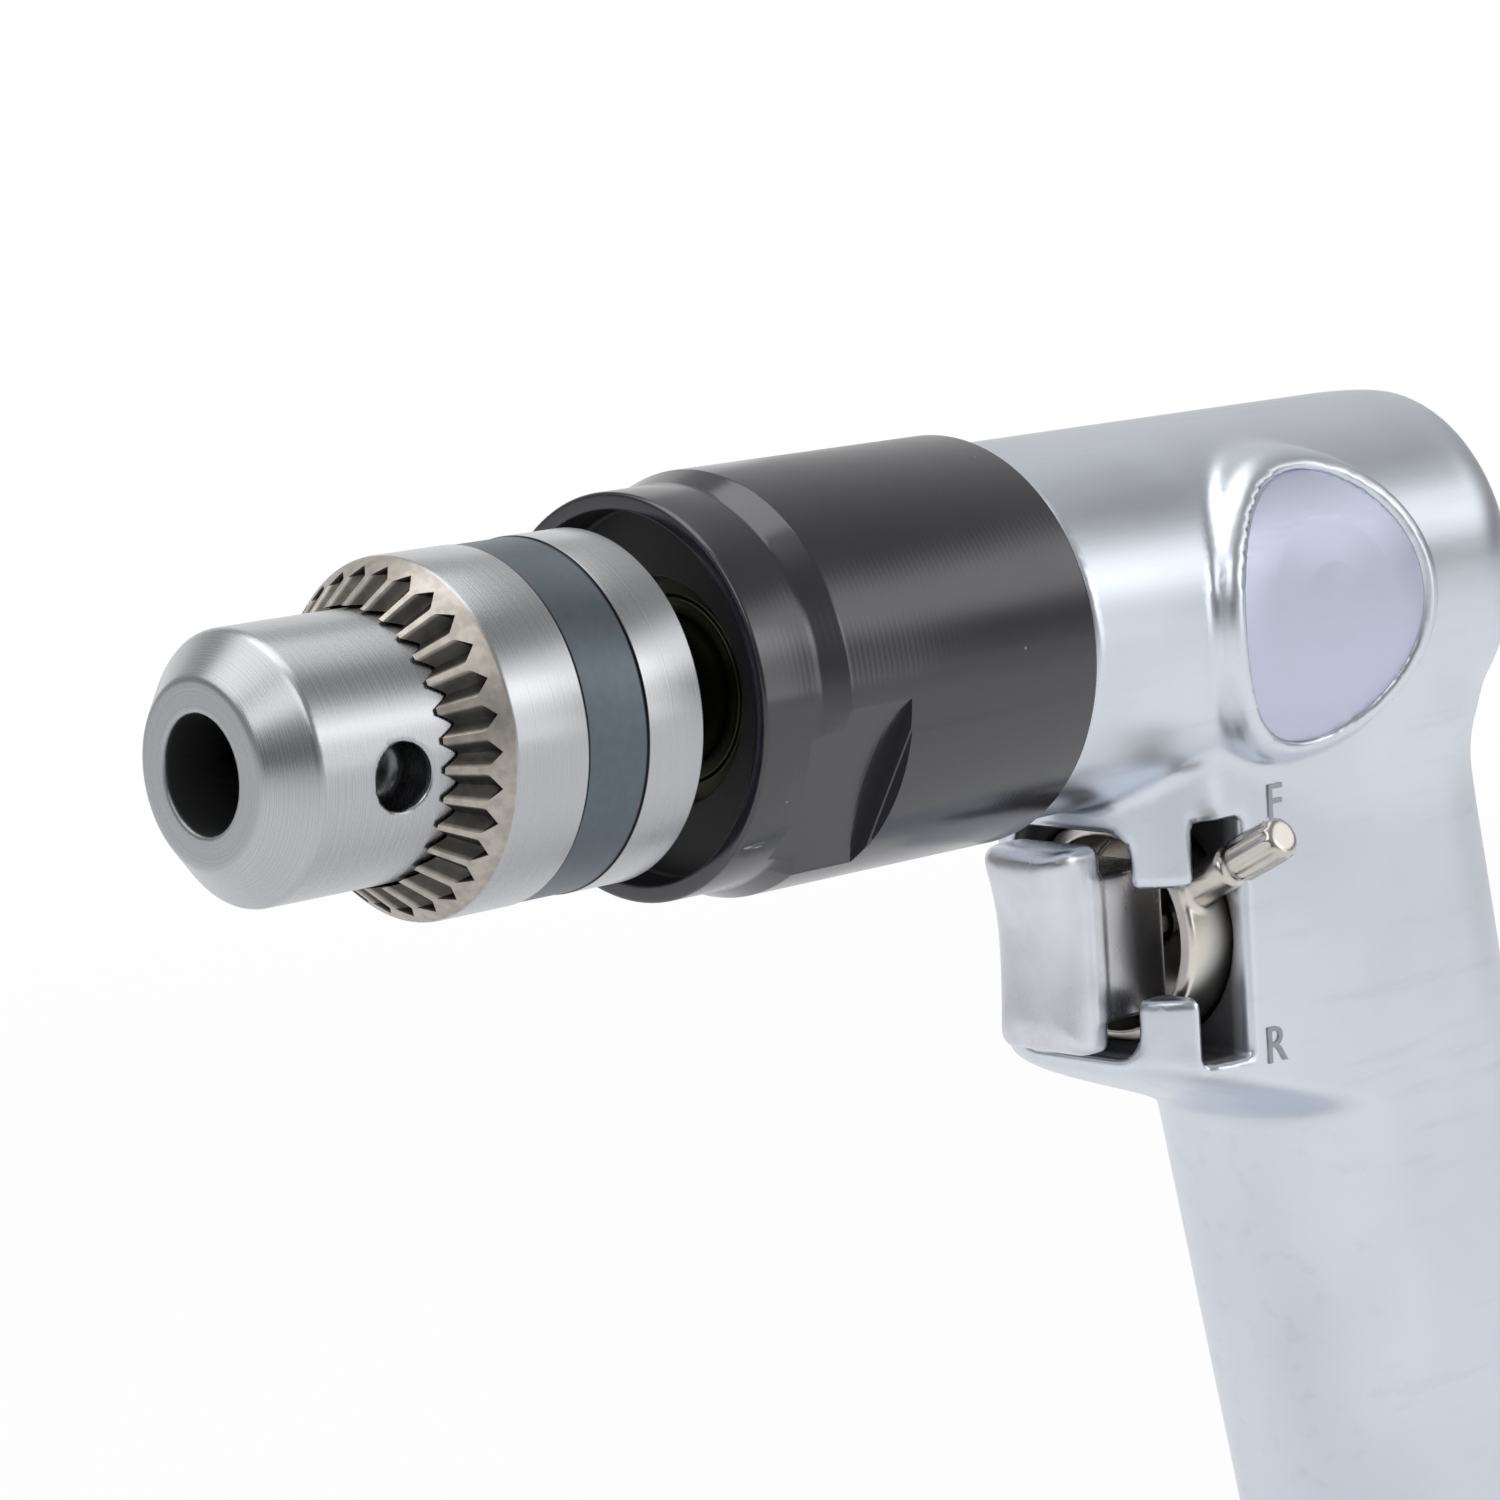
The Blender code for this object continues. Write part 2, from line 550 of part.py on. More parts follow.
def motor_housing():
    """One casting: motor body, grip, trigger guard and label pad, with its bores and passages."""
    rings = [
        body_ring(HOUSING_FRONT_X, BODY_FRONT_SIDE_R),
        body_ring(HOUSING_FRONT_X + BODY_FLARE_LENGTH),
        body_ring(HOUSING_REAR_X - BODY_REAR_LENGTH),
    ]
    for angle in (25, 50, 70, 90):
        turn = math.radians(angle)
        x = HOUSING_REAR_X - BODY_REAR_LENGTH * (1 - math.sin(turn))
        side_r = BODY_SIDE_R - BODY_REAR_SIDE_ROUND * (1 - math.cos(turn))
        height_r = BODY_HEIGHT_R - BODY_REAR_TOP_ROUND * (1 - math.cos(turn))
        rings.append(body_ring(x, side_r, height_r))
    housing = lofted("motor_housing", rings)
    spigot = turned(
        "join_spigot",
        [
            (SPIGOT_FRONT_X, 0),
            (SPIGOT_FRONT_X, SPIGOT_R),
            (HOUSING_FRONT_X + MM, SPIGOT_R),
            (HOUSING_FRONT_X + MM, 0),
        ],
        32,
        (0, AXIS_Z),
    )
    pad_floor = PAD_CURVE_R - PLATE_SINK - PLATE_THICKNESS - SEAT_GAP
    combine(
        housing,
        "UNION",
        spigot,
        lofted("join_grip", grip_rings()),
        wrapped_disc("join_pad", PAD_R, MOTOR_BORE_R + 2 * MM, PAD_CURVE_R),
    )
    lean = INLET_X - (SPRING_X + SPRING_LENGTH / 3)
    top = (INLET_X - lean, 0, VALVE_Z)
    cut(
        housing,
        rod(
            "cut_detent_hole",
            (POCKET_BACK_X - MM, 0, VALVE_Z - DETENT_DROP),
            (
                POCKET_BACK_X + 2 * DETENT_R + DETENT_SPRING_LENGTH + 2 * SEAT_GAP,
                0,
                VALVE_Z - DETENT_DROP,
            ),
            DETENT_R + RUN_GAP,
            12,
        ),
        wrapped_disc("cut_label_recess", PAD_R - PAD_RIM, pad_floor, PAD_CURVE_R + 2 * MM),
        turned(
            "cut_motor_bore",
            [
                (SPIGOT_FRONT_X - MM, 0),
                (SPIGOT_FRONT_X - MM, MOTOR_BORE_R),
                (MOTOR_BORE_BACK_X, MOTOR_BORE_R),
                (MOTOR_BORE_BACK_X, 0),
            ],
            32,
            (0, AXIS_Z),
            start=HALF_SIDE,
        ),
        turned(
            "cut_valve_line",
            [
                (LEVER_SLOT_FRONT_X + SEAT_GAP, 0),
                (LEVER_SLOT_FRONT_X + SEAT_GAP, POCKET_R),
                (POCKET_BACK_X, POCKET_R),
                (POCKET_BACK_X, SPOOL_R + SEAT_GAP),
                (VALVE_SEAT_BACK_X, SPOOL_R + SEAT_GAP),
                (VALVE_SEAT_BACK_X, CHAMBER_R),
                (CHAMBER_BACK_X, CHAMBER_R),
                (CHAMBER_BACK_X, 0),
            ],
            24,
            (0, VALVE_Z),
            start=HALF_SIDE,
        ),
        extruded(
            "cut_trigger_pocket",
            rounded_box(
                TRIGGER_POCKET_HALF_WIDTH,
                TRIGGER_POCKET_HALF_HEIGHT,
                TRIGGER_POCKET_CORNER,
                VALVE_Z,
            ),
            GUARD_FRONT_X - 5 * MM,
            LEVER_SLOT_FRONT_X + MM,
            "X",
        ),
        block(
            "cut_notch",
            (GUARD_FRONT_X - 5 * MM, -GRIP_HALF_WIDTH - 9 * MM, VALVE_Z - NOTCH_BOTTOM),
            (LEVER_SLOT_FRONT_X + MM, -TRIGGER_HALF_WIDTH, VALVE_Z + NOTCH_TOP),
        ),
        block(
            "cut_lever_slot",
            (LEVER_SLOT_FRONT_X, -GRIP_HALF_WIDTH - 9 * MM, VALVE_Z - LEVER_SLOT_HALF_HEIGHT),
            (
                LEVER_SLOT_FRONT_X + LEVER_SLOT_WIDTH,
                -TRIGGER_HALF_WIDTH,
                VALVE_Z + LEVER_SLOT_HALF_HEIGHT,
            ),
        ),
        rod("cut_air_passage", (INLET_X, 0, INLET_LENGTH), top, AIR_PASSAGE_R, 16),
        standing(
            "cut_inlet",
            [
                (GRIP_BASE_Z - MM, 0),
                (GRIP_BASE_Z - MM, INLET_HEX / math.sqrt(3) + SEAT_GAP),
                (INLET_RECESS + INLET_HEAD + SEAT_GAP, INLET_HEX / math.sqrt(3) + SEAT_GAP),
                (INLET_RECESS + INLET_HEAD + SEAT_GAP, INLET_THREAD_R + SEAT_GAP),
                (INLET_RECESS + INLET_LENGTH + 4 * SEAT_GAP + SCREEN_THICKNESS, INLET_THREAD_R + SEAT_GAP),
                (INLET_RECESS + INLET_LENGTH + 4 * SEAT_GAP + SCREEN_THICKNESS, 0),
            ],
            24,
            (INLET_X, 0),
        ),
    )
    for side in (-1, 1):
        cut(
            housing,
            rod(
                f"cut_exhaust_{side}",
                (EXHAUST_TOP_X, side * EXHAUST_TOP_Y, AXIS_Z - 9 * MM),
                (EXHAUST_BASE_X, side * EXHAUST_BASE_Y, GRIP_BASE_Z - MM),
                EXHAUST_R,
                10,
            ),
            rod(
                f"cut_port_{side}",
                (SPOOL_X + SPOOL_LENGTH * 0.6, side * SPOOL_PORT_R * 1.5, VALVE_Z + 4 * MM),
                (SPOOL_X + SPOOL_LENGTH * 0.6, side * SPOOL_PORT_R * 2.5, AXIS_Z - MOTOR_BORE_R + 3 * MM),
                SPOOL_PORT_R,
                10,
            ),
            rod(
                f"cut_screw_hole_{side}",
                (CAP_SCREW_X, side * CAP_SCREW_Y, GRIP_BASE_Z - MM),
                (CAP_SCREW_X, side * CAP_SCREW_Y, CAP_FLOOR + CAP_SCREW_LENGTH + MM),
                CAP_SCREW_R + RUN_GAP,
                10,
            ),
        )
    paint(housing, *ALUMINIUM)


def label_plate():
    outer = PAD_CURVE_R - PLATE_SINK
    radius = PAD_R - PAD_RIM - SEAT_GAP
    plate = wrapped_disc("label_plate", radius, outer - PLATE_THICKNESS, outer)
    paint(plate, (0.8, 0.82, 0.86), 0.4, 0)


def front_sleeve():
    """Black screwed sleeve: wide mouth, bearing seat, ring gear bore and thread on the housing's spigot."""
    back = HOUSING_FRONT_X - SEAT_GAP
    thread_r = SPIGOT_R + SEAT_GAP
    gear_back = SPIGOT_FRONT_X - SEAT_GAP
    mouth = SLEEVE_FRONT_X + SLEEVE_MOUTH_DEPTH
    nose_end = SLEEVE_FRONT_X + SLEEVE_NOSE_LENGTH
    seat_r = SPINDLE_BEARING_R + RUN_GAP
    profile = [
        (SLEEVE_FRONT_X, SLEEVE_MOUTH_R),
        (SLEEVE_FRONT_X, SLEEVE_NOSE_R),
        (nose_end, SLEEVE_NOSE_R),
        (nose_end + SLEEVE_CHAMFER_LENGTH, SLEEVE_R),
        (back, SLEEVE_R),
        (back, thread_r),
        (gear_back, thread_r),
        (gear_back, RING_GEAR_R + SEAT_GAP),
        (GEAR_CASE_FRONT_X, RING_GEAR_R + SEAT_GAP),
        (GEAR_CASE_FRONT_X, seat_r),
        (BEARING_FRONT_X - SEAT_GAP, seat_r),
        (BEARING_FRONT_X - SEAT_GAP, SPINDLE_BEARING_R - 3 * MM),
        (mouth, SPINDLE_BEARING_R - 3 * MM),
        (mouth, SLEEVE_MOUTH_R),
    ]
    sleeve = turned("front_sleeve", profile, 36, (0, AXIS_Z))
    for name, angle in (("cut_flat_left", FLAT_ANGLE), ("cut_flat_right", FLAT_ANGLE + 180)):
        start = SLEEVE_FRONT_X + FLAT_START
        tool = block(
            name,
            (start, FLAT_DISTANCE, -SLEEVE_R),
            (start + FLAT_LENGTH, FLAT_DISTANCE + SLEEVE_R, SLEEVE_R),
        )
        tool.data.transform(Matrix.Rotation(math.pi - math.radians(angle), 4, "X"))
        tool.location = (0, 0, AXIS_Z)
        cut(sleeve, tool)
    paint(sleeve, *BLACK)


def gear_outline(teeth, tip, root, phase):
    """Closed outline of straight-sided teeth; phase turns it, and negative tip makes an internal gear."""
    pitch_r = MODULE * teeth / 2
    half_pitch = math.pi / teeth / 2 - BACKLASH / 2 / pitch_r
    slope = math.tan(math.radians(20))
    outline = []
    for tooth in range(teeth):
        middle = phase + 2 * math.pi * tooth / teeth
        tip_half = half_pitch - tip * slope / pitch_r * (1 if tip > 0 else -1)
        root_half = half_pitch + root * slope / pitch_r
        tip_r = pitch_r + tip
        root_r = pitch_r - root if tip > 0 else pitch_r + root
        for turn, radius in (
            (-root_half, root_r),
            (-tip_half, tip_r),
            (tip_half, tip_r),
            (root_half, root_r),
        ):
            outline.append((-radius * math.cos(middle + turn), radius * math.sin(middle + turn)))
    return outline


def planet_angle(index):
    return 90 + 360 * index / PLANET_COUNT


def planet_phase(index):
    """Turns a planet so that a gap of it faces the sun's tooth in mesh with it."""
    place = math.radians(planet_angle(index))
    return place + math.pi - math.pi / PLANET_TEETH + place * SUN_TEETH / PLANET_TEETH


def ring_phase():
    place = math.radians(planet_angle(0))
    meshed = (place - planet_phase(0)) * PLANET_TEETH / (2 * math.pi) + 0.5
    return place - 2 * math.pi / RING_TEETH * meshed


def planet_centre(index):
    return Vector((0, 0, AXIS_Z)) + direction(planet_angle(index)) * PLANET_ORBIT_R


def ring_gear():
    gear = turned(
        "ring_gear",
        [
            (GEAR_CASE_FRONT_X + SEAT_GAP, 0),
            (GEAR_CASE_FRONT_X + SEAT_GAP, RING_GEAR_R),
            (SPIGOT_FRONT_X - 2 * SEAT_GAP, RING_GEAR_R),
            (SPIGOT_FRONT_X - 2 * SEAT_GAP, 0),
        ],
        30,
        (0, AXIS_Z),
    )
    outline = gear_outline(RING_TEETH, -MODULE, 1.2 * MODULE, ring_phase())
    tool = extruded("cut_ring_teeth", outline, GEAR_CASE_FRONT_X - MM, SPIGOT_FRONT_X + MM, "X")
    tool.location = (0, 0, AXIS_Z)
    cut(gear, tool)
    paint(gear, *DARK_STEEL)


def planets():
    for index in range(PLANET_COUNT):
        centre = planet_centre(index)
        number = index + 1
        outline = gear_outline(PLANET_TEETH, MODULE, 1.2 * MODULE, planet_phase(index))
        gear = extruded(f"planet_gear_{number}", outline, PLANET_FRONT_X, PLANET_BACK_X, "X")
        gear.location = centre
        hole = rod(
            f"cut_planet_bore_{number}",
            centre + Vector((PLANET_FRONT_X - MM, 0, 0)),
            centre + Vector((PLANET_BACK_X + MM, 0, 0)),
            PIN_R + RUN_GAP,
            14,
        )
        paint(cut(gear, hole), *DARK_STEEL)
        pin = turned(
            f"planet_pin_{number}",
            [
                (CARRIER_FRONT_X + SEAT_GAP, 0),
                (CARRIER_FRONT_X + SEAT_GAP, PIN_R),
                (BACK_PLATE_X + BACK_PLATE_THICKNESS, PIN_R),
                (BACK_PLATE_X + BACK_PLATE_THICKNESS, 0),
            ],
            14,
            (centre.y, centre.z),
        )
        paint(pin, *STEEL)


def pin_holes(name, low, high):
    """Cutters for the planet pins' holes in a carrier plate."""
    hole_r = PIN_R + RUN_GAP
    outline = [(low, 0), (low, hole_r), (high, hole_r), (high, 0)]
    for index in range(PLANET_COUNT):
        centre = planet_centre(index)
        at = (centre.y, centre.z)
        yield turned(f"cut_{name}_{index + 1}", outline, 14, at, start=HALF_SIDE)


def spindle():
    """Output spindle: threaded nose, shoulder, bearing seat and planet carrier plate in one."""
    shoulder, front = SPINDLE_SHOULDER_X, SPINDLE_THREAD_X
    screw_depth = front + CHUCK_SCREW_DEPTH + MM
    item = turned(
        "spindle",
        [
            (screw_depth, 0),
            (screw_depth, CHUCK_SCREW_R + SEAT_GAP),
            (front, CHUCK_SCREW_R + SEAT_GAP),
            (front, SPINDLE_THREAD_R),
            (shoulder, SPINDLE_THREAD_R),
            (shoulder, SPINDLE_R),
            (CARRIER_FRONT_X, SPINDLE_R),
            (CARRIER_FRONT_X, CARRIER_R),
            (CARRIER_BACK_X, CARRIER_R),
            (CARRIER_BACK_X, 0),
        ],
        24,
        (0, AXIS_Z),
    )
    cut(item, *pin_holes("carrier_hole", CARRIER_FRONT_X - MM, CARRIER_BACK_X + MM))
    paint(item, *STEEL)
    plate = turned(
        "carrier_back_plate",
        [
            (BACK_PLATE_X, MODULE * SUN_TEETH / 2 + 2 * MODULE),
            (BACK_PLATE_X, CARRIER_R),
            (BACK_PLATE_X + BACK_PLATE_THICKNESS, CARRIER_R),
            (BACK_PLATE_X + BACK_PLATE_THICKNESS, MODULE * SUN_TEETH / 2 + 2 * MODULE),
        ],
        24,
        (0, AXIS_Z),
    )
    low, high = BACK_PLATE_X - MM, BACK_PLATE_X + BACK_PLATE_THICKNESS + MM
    paint(cut(plate, *pin_holes("plate_hole", low, high)), *STEEL)


def ring(name, front, back, inner, outer, look, sides=18, drop=0):
    """A plain ring on the spindle axis, or drop below it."""
    profile = [(front, inner), (front, outer), (back, outer), (back, inner)]
    return paint(turned(name, profile, sides, (0, AXIS_Z - drop)), *look)


def bearings():
    ring(
        "spindle_bearing",
        BEARING_FRONT_X,
        BEARING_BACK_X,
        SPINDLE_R + RUN_GAP,
        SPINDLE_BEARING_R,
        STEEL,
        24,
    )
    inner = SHAFT_R + RUN_GAP
    front_back = FRONT_PLATE_X - SEAT_GAP
    ring("front_rotor_bearing", front_back - ROTOR_BEARING_WIDTH, front_back, inner, ROTOR_BEARING_R, STEEL)
    rear = REAR_PLATE_BACK_X + SEAT_GAP
    ring("rear_rotor_bearing", rear, rear + ROTOR_BEARING_WIDTH, inner, ROTOR_BEARING_R, STEEL)


def end_plate(name, inner_face, outer_face, boss_end):
    """Motor end plate: a disc between the two faces and a boss round its bearing's pocket."""
    pocket_r = ROTOR_BEARING_R + RUN_GAP
    boss_r = pocket_r + 2.2 * MM
    shaft_hole = SHAFT_R + SEAT_GAP
    profile = [
        (inner_face, shaft_hole),
        (inner_face, MOTOR_R),
        (outer_face, MOTOR_R),
        (outer_face, boss_r),
        (boss_end, boss_r),
        (boss_end, pocket_r),
        (outer_face, pocket_r),
        (outer_face, shaft_hole),
    ]
    return turned(name, profile, 22, (0, AXIS_Z))


def offset_tube(name, front, back, outer_r, inner_r, offset, sides=28):
    """A tube on the spindle axis whose bore lies lower by offset."""
    rings = []
    for x, radius, drop in (
        (front, outer_r, 0),
        (back, outer_r, 0),
        (back, inner_r, offset),
        (front, inner_r, offset),
    ):
        ring = []
        for side in range(sides):
            across = direction(360 * (side + 0.5) / sides) * radius
            ring.append((x, across.y, AXIS_Z + across.z - drop))
        rings.append(ring)
    points = [point for ring in rings for point in ring]
    faces = []
    for row in range(4):
        first, second = row * sides, (row + 1) % 4 * sides
        for side in range(sides):
            after = (side + 1) % sides
            faces.append([first + side, first + after, second + after, second + side])
    return make(name, points, faces)


def dowel_line(start, end, radius, name):
    height = AXIS_Z + DOWEL_RADIUS
    return rod(name, (start, 0, height), (end, 0, height), radius, 10)


def air_motor():
    """End plates, eccentric liner, slotted rotor with its pinion, vanes and dowel."""
    plate_back = FRONT_PLATE_X + END_PLATE_THICKNESS
    front = end_plate("front_end_plate", plate_back, FRONT_PLATE_X, FRONT_PLATE_X - BOSS_LENGTH)
    cut(front, dowel_line(FRONT_PLATE_X - MM, plate_back + MM, DOWEL_R + RUN_GAP, "cut_plate_dowel"))
    paint(front, *ALUMINIUM)
    rear = end_plate("rear_end_plate", REAR_PLATE_X, REAR_PLATE_BACK_X, REAR_PLATE_BACK_X + BOSS_LENGTH)
    paint(rear, *ALUMINIUM)

    liner = offset_tube("cylinder_liner", LINER_X, LINER_BACK_X, MOTOR_R, LINER_BORE_R, LINER_OFFSET)
    cut(liner, dowel_line(LINER_X - MM, LINER_X + 4 * MM, DOWEL_R + RUN_GAP, "cut_liner_dowel"))
    for place, share in enumerate((0.3, 0.5, 0.7)):
        x = LINER_X + LINER_LENGTH * share
        for side in (-1, 1):
            start = Vector((x, side * (LINER_BORE_R - 3 * MM), AXIS_Z - 4 * MM))
            end = Vector((x, side * (MOTOR_R + 2 * MM), AXIS_Z - 4 * MM))
            cut(liner, rod(f"cut_liner_port_{place}_{side}", start, end, 1.6 * MM, 8))
    paint(liner, *STEEL)
    dowel = dowel_line(FRONT_PLATE_X + SEAT_GAP, LINER_X + 3.5 * MM, DOWEL_R, "motor_dowel")
    paint(dowel, *STEEL)

    rotor_front, rotor_back = LINER_X + SEAT_GAP, LINER_BACK_X - SEAT_GAP
    pinion_front = PLANET_FRONT_X + SEAT_GAP
    pinion_back = BACK_PLATE_X + BACK_PLATE_THICKNESS
    shaft_step = FRONT_PLATE_X - BOSS_LENGTH - SEAT_GAP
    shaft_end = REAR_PLATE_BACK_X + BOSS_LENGTH
    rotor = turned(
        "rotor",
        [
            (pinion_back - MM, 0),
            (pinion_back - MM, PINION_SHAFT_R),
            (shaft_step, PINION_SHAFT_R),
            (shaft_step, SHAFT_R),
            (rotor_front, SHAFT_R),
            (rotor_front, ROTOR_R),
            (rotor_back, ROTOR_R),
            (rotor_back, SHAFT_R),
            (shaft_end, SHAFT_R),
            (shaft_end, 0),
        ],
        25,
        (0, AXIS_Z),
    )
    outline = gear_outline(SUN_TEETH, MODULE, 1.2 * MODULE, 0)
    pinion = extruded("join_pinion", outline, pinion_front, pinion_back, "X")
    pinion.location = (0, 0, AXIS_Z)
    combine(rotor, "UNION", pinion)
    for index in range(VANE_COUNT):
        angle = 90 + 360 * index / VANE_COUNT
        vane_r = ROTOR_R + 0.1 * MM
        half = VANE_THICKNESS / 2
        slot = block(
            f"cut_vane_slot_{index + 1}",
            (rotor_front - MM, vane_r - VANE_DEPTH - SEAT_GAP, -half - RUN_GAP),
            (rotor_back + MM, ROTOR_R + 2 * MM, half + RUN_GAP),
        )
        vane = block(
            f"rotor_vane_{index + 1}",
            (rotor_front, vane_r - VANE_DEPTH, -half),
            (rotor_back, vane_r, half),
        )
        for item in (slot, vane):
            item.data.transform(Matrix.Rotation(math.pi - math.radians(angle), 4, "X"))
            item.location = (0, 0, AXIS_Z)
        cut(rotor, slot)
        paint(vane, *COMPOSITE)
    paint(rotor, *STEEL)


def jaw_line(index, from_x, to_x):
    """Two points on a jaw's sloping centre line, at the stations from_x and to_x."""
    outward = direction(KEY_HOLE_ANGLE + 180 / JAW_COUNT + 360 * index / JAW_COUNT)
    ends = []
    for x in (from_x, to_x):
        reach = JAW_TIP_AXIS_R + (x - JAW_TIP_X) * JAW_TAN
        ends.append(Vector((x, 0, AXIS_Z)) + outward * reach)
    return ends


def chuck_body():
    """Steel chuck body: drill bore, key holes, three sloping jaw tracks and the spindle thread."""
    sleeve_r = CHUCK_NOSE_R
    nut_front, nut_back = NOSE_X + NUT_FRONT, NOSE_X + NUT_FRONT + NUT_LENGTH
    neck_r = JAW_TIP_AXIS_R + (nut_front - JAW_TIP_X) * JAW_TAN + 0.9 * JAW_R
    web = NOSE_X + CHUCK_BORE_DEPTH
    back = CHUCK_BACK_X + 1.1 * MM
    body = turned(
        "chuck_body",
        [
            (NOSE_X, CHUCK_BORE_R),
            (NOSE_X, CHUCK_FACE_R),
            (NOSE_X + CHUCK_CONE_LENGTH, CHUCK_NOSE_R),
            (nut_front - SEAT_GAP, sleeve_r),
            (nut_front - SEAT_GAP, neck_r),
            (nut_back + SEAT_GAP, neck_r),
            (nut_back + SEAT_GAP, sleeve_r),
            (back - CHUCK_FLANGE_LENGTH, sleeve_r),
            (back - CHUCK_FLANGE_LENGTH, NUT_R),
            (back, NUT_R),
            (back, CHUCK_THREAD_R),
            (web + CHUCK_WEB, CHUCK_THREAD_R),
            (web + CHUCK_WEB, CHUCK_SCREW_R + SEAT_GAP),
            (web, CHUCK_SCREW_R + SEAT_GAP),
            (web, CHUCK_BORE_R),
        ],
        26,
        (0, AXIS_Z),
    )
    track_end = JAW_TIP_X + JAW_LENGTH * JAW_COS + 3 * MM
    for index in range(JAW_COUNT):
        ends = jaw_line(index, NOSE_X + MM, track_end)
        outward = direction(KEY_HOLE_ANGLE + 360 * index / JAW_COUNT)
        hole = Vector((CHUCK_SLEEVE_FRONT_X - KEY_HOLE_SETBACK, 0, AXIS_Z))
        low = CHUCK_NOSE_R - KEY_HOLE_DEPTH
        cut(
            body,
            rod(f"cut_jaw_track_{index + 1}", *ends, JAW_R + RUN_GAP, 16),
            rod(
                f"cut_key_hole_{index + 1}",
                hole + outward * low,
                hole + outward * (CHUCK_NOSE_R + MM),
                KEY_HOLE_R,
                16,
            ),
        )
    paint(body, *STEEL)


def chuck_jaws():
    """Round sloping jaws, each cut to a 120 degree wedge with a narrow gripping flat."""
    tip_half = 0.5 * MM
    reach = 14 * MM
    for index in range(JAW_COUNT):
        number = index + 1
        angle = KEY_HOLE_ANGLE + 180 / JAW_COUNT + 360 * index / JAW_COUNT
        end_x = JAW_TIP_X + JAW_LENGTH * JAW_COS
        jaw = rod(f"chuck_jaw_{number}", *jaw_line(index, JAW_TIP_X, end_x), JAW_R, 16)
        half = tip_half + (reach - JAW_OPEN_R) * math.tan(math.radians(60))
        far = reach + 3 * MM
        outline = [(JAW_OPEN_R, -tip_half), (far, -half), (far, half), (JAW_OPEN_R, tip_half)]
        wedge = extruded(f"keep_jaw_wedge_{number}", outline, JAW_TIP_X - 3 * MM, end_x + 3 * MM, "X")
        wedge.data.transform(Matrix.Rotation(math.pi - math.radians(angle), 4, "X"))
        wedge.location = (0, 0, AXIS_Z)
        combine(jaw, "INTERSECT", wedge)
        paint(jaw, *DARK_STEEL)


def chuck_sleeve():
    """Turned sleeve with bevel gear teeth for the key, pressed over the split nut."""
    front, back = CHUCK_SLEEVE_FRONT_X, CHUCK_BACK_X
    body_r = CHUCK_NOSE_R + SEAT_GAP
    nut_r = NUT_R + SEAT_GAP
    shoulder = NOSE_X + NUT_FRONT - 2 * MM
    slope = (CHUCK_SLEEVE_R - body_r) / BEVEL_LENGTH
    tooth_r = body_r + slope * BEVEL_TOOTH_LENGTH
    sleeve = turned(
        "chuck_sleeve",
        [
            (front, body_r),
            (front + BEVEL_TOOTH_LENGTH, tooth_r),
            (front + BEVEL_LENGTH, CHUCK_SLEEVE_R),
            (back, CHUCK_SLEEVE_R),
            (back, nut_r),
            (shoulder, nut_r),
            (shoulder, body_r),
        ],
        2 * CHUCK_TEETH,
        (0, AXIS_Z),
        zigzag={0: TOOTH_DEPTH, 1: 0.7 * TOOTH_DEPTH},
    )
    paint(sleeve, *STEEL)


def chuck_nut():
    """Split nut: two half rings whose inner cone runs along the jaws' outer sides."""
    front = NOSE_X + NUT_FRONT
    rise = JAW_TIP_AXIS_R + JAW_R / JAW_COS + SEAT_GAP - JAW_TIP_X * JAW_TAN
    for number, start in ((1, 2), (2, 182)):
        half = turned(
            f"chuck_nut_half_{number}",
            [
                (front, rise + front * JAW_TAN),
                (front, NUT_R),
                (front + NUT_LENGTH, NUT_R),
                (front + NUT_LENGTH, rise + (front + NUT_LENGTH) * JAW_TAN),
            ],
            14,
            (0, AXIS_Z),
            sweep=176,
            start=start,
        )
        paint(half, *DARK_STEEL)


def chuck_screw():
    """Left-hand screw through the chuck's web into the spindle, so that reversing can't unscrew the chuck."""
    seat = NOSE_X + CHUCK_BORE_DEPTH - SEAT_GAP
    end = SPINDLE_THREAD_X + CHUCK_SCREW_DEPTH
    item = turned(
        "chuck_screw",
        [
            (seat - CHUCK_SCREW_HEAD, 0),
            (seat - CHUCK_SCREW_HEAD, CHUCK_SCREW_HEAD_R),
            (seat, CHUCK_SCREW_HEAD_R),
            (seat, CHUCK_SCREW_R),
            (end, CHUCK_SCREW_R),
            (end, 0),
        ],
        16,
        (0, AXIS_Z),
    )
    paint(item, *DARK_STEEL)


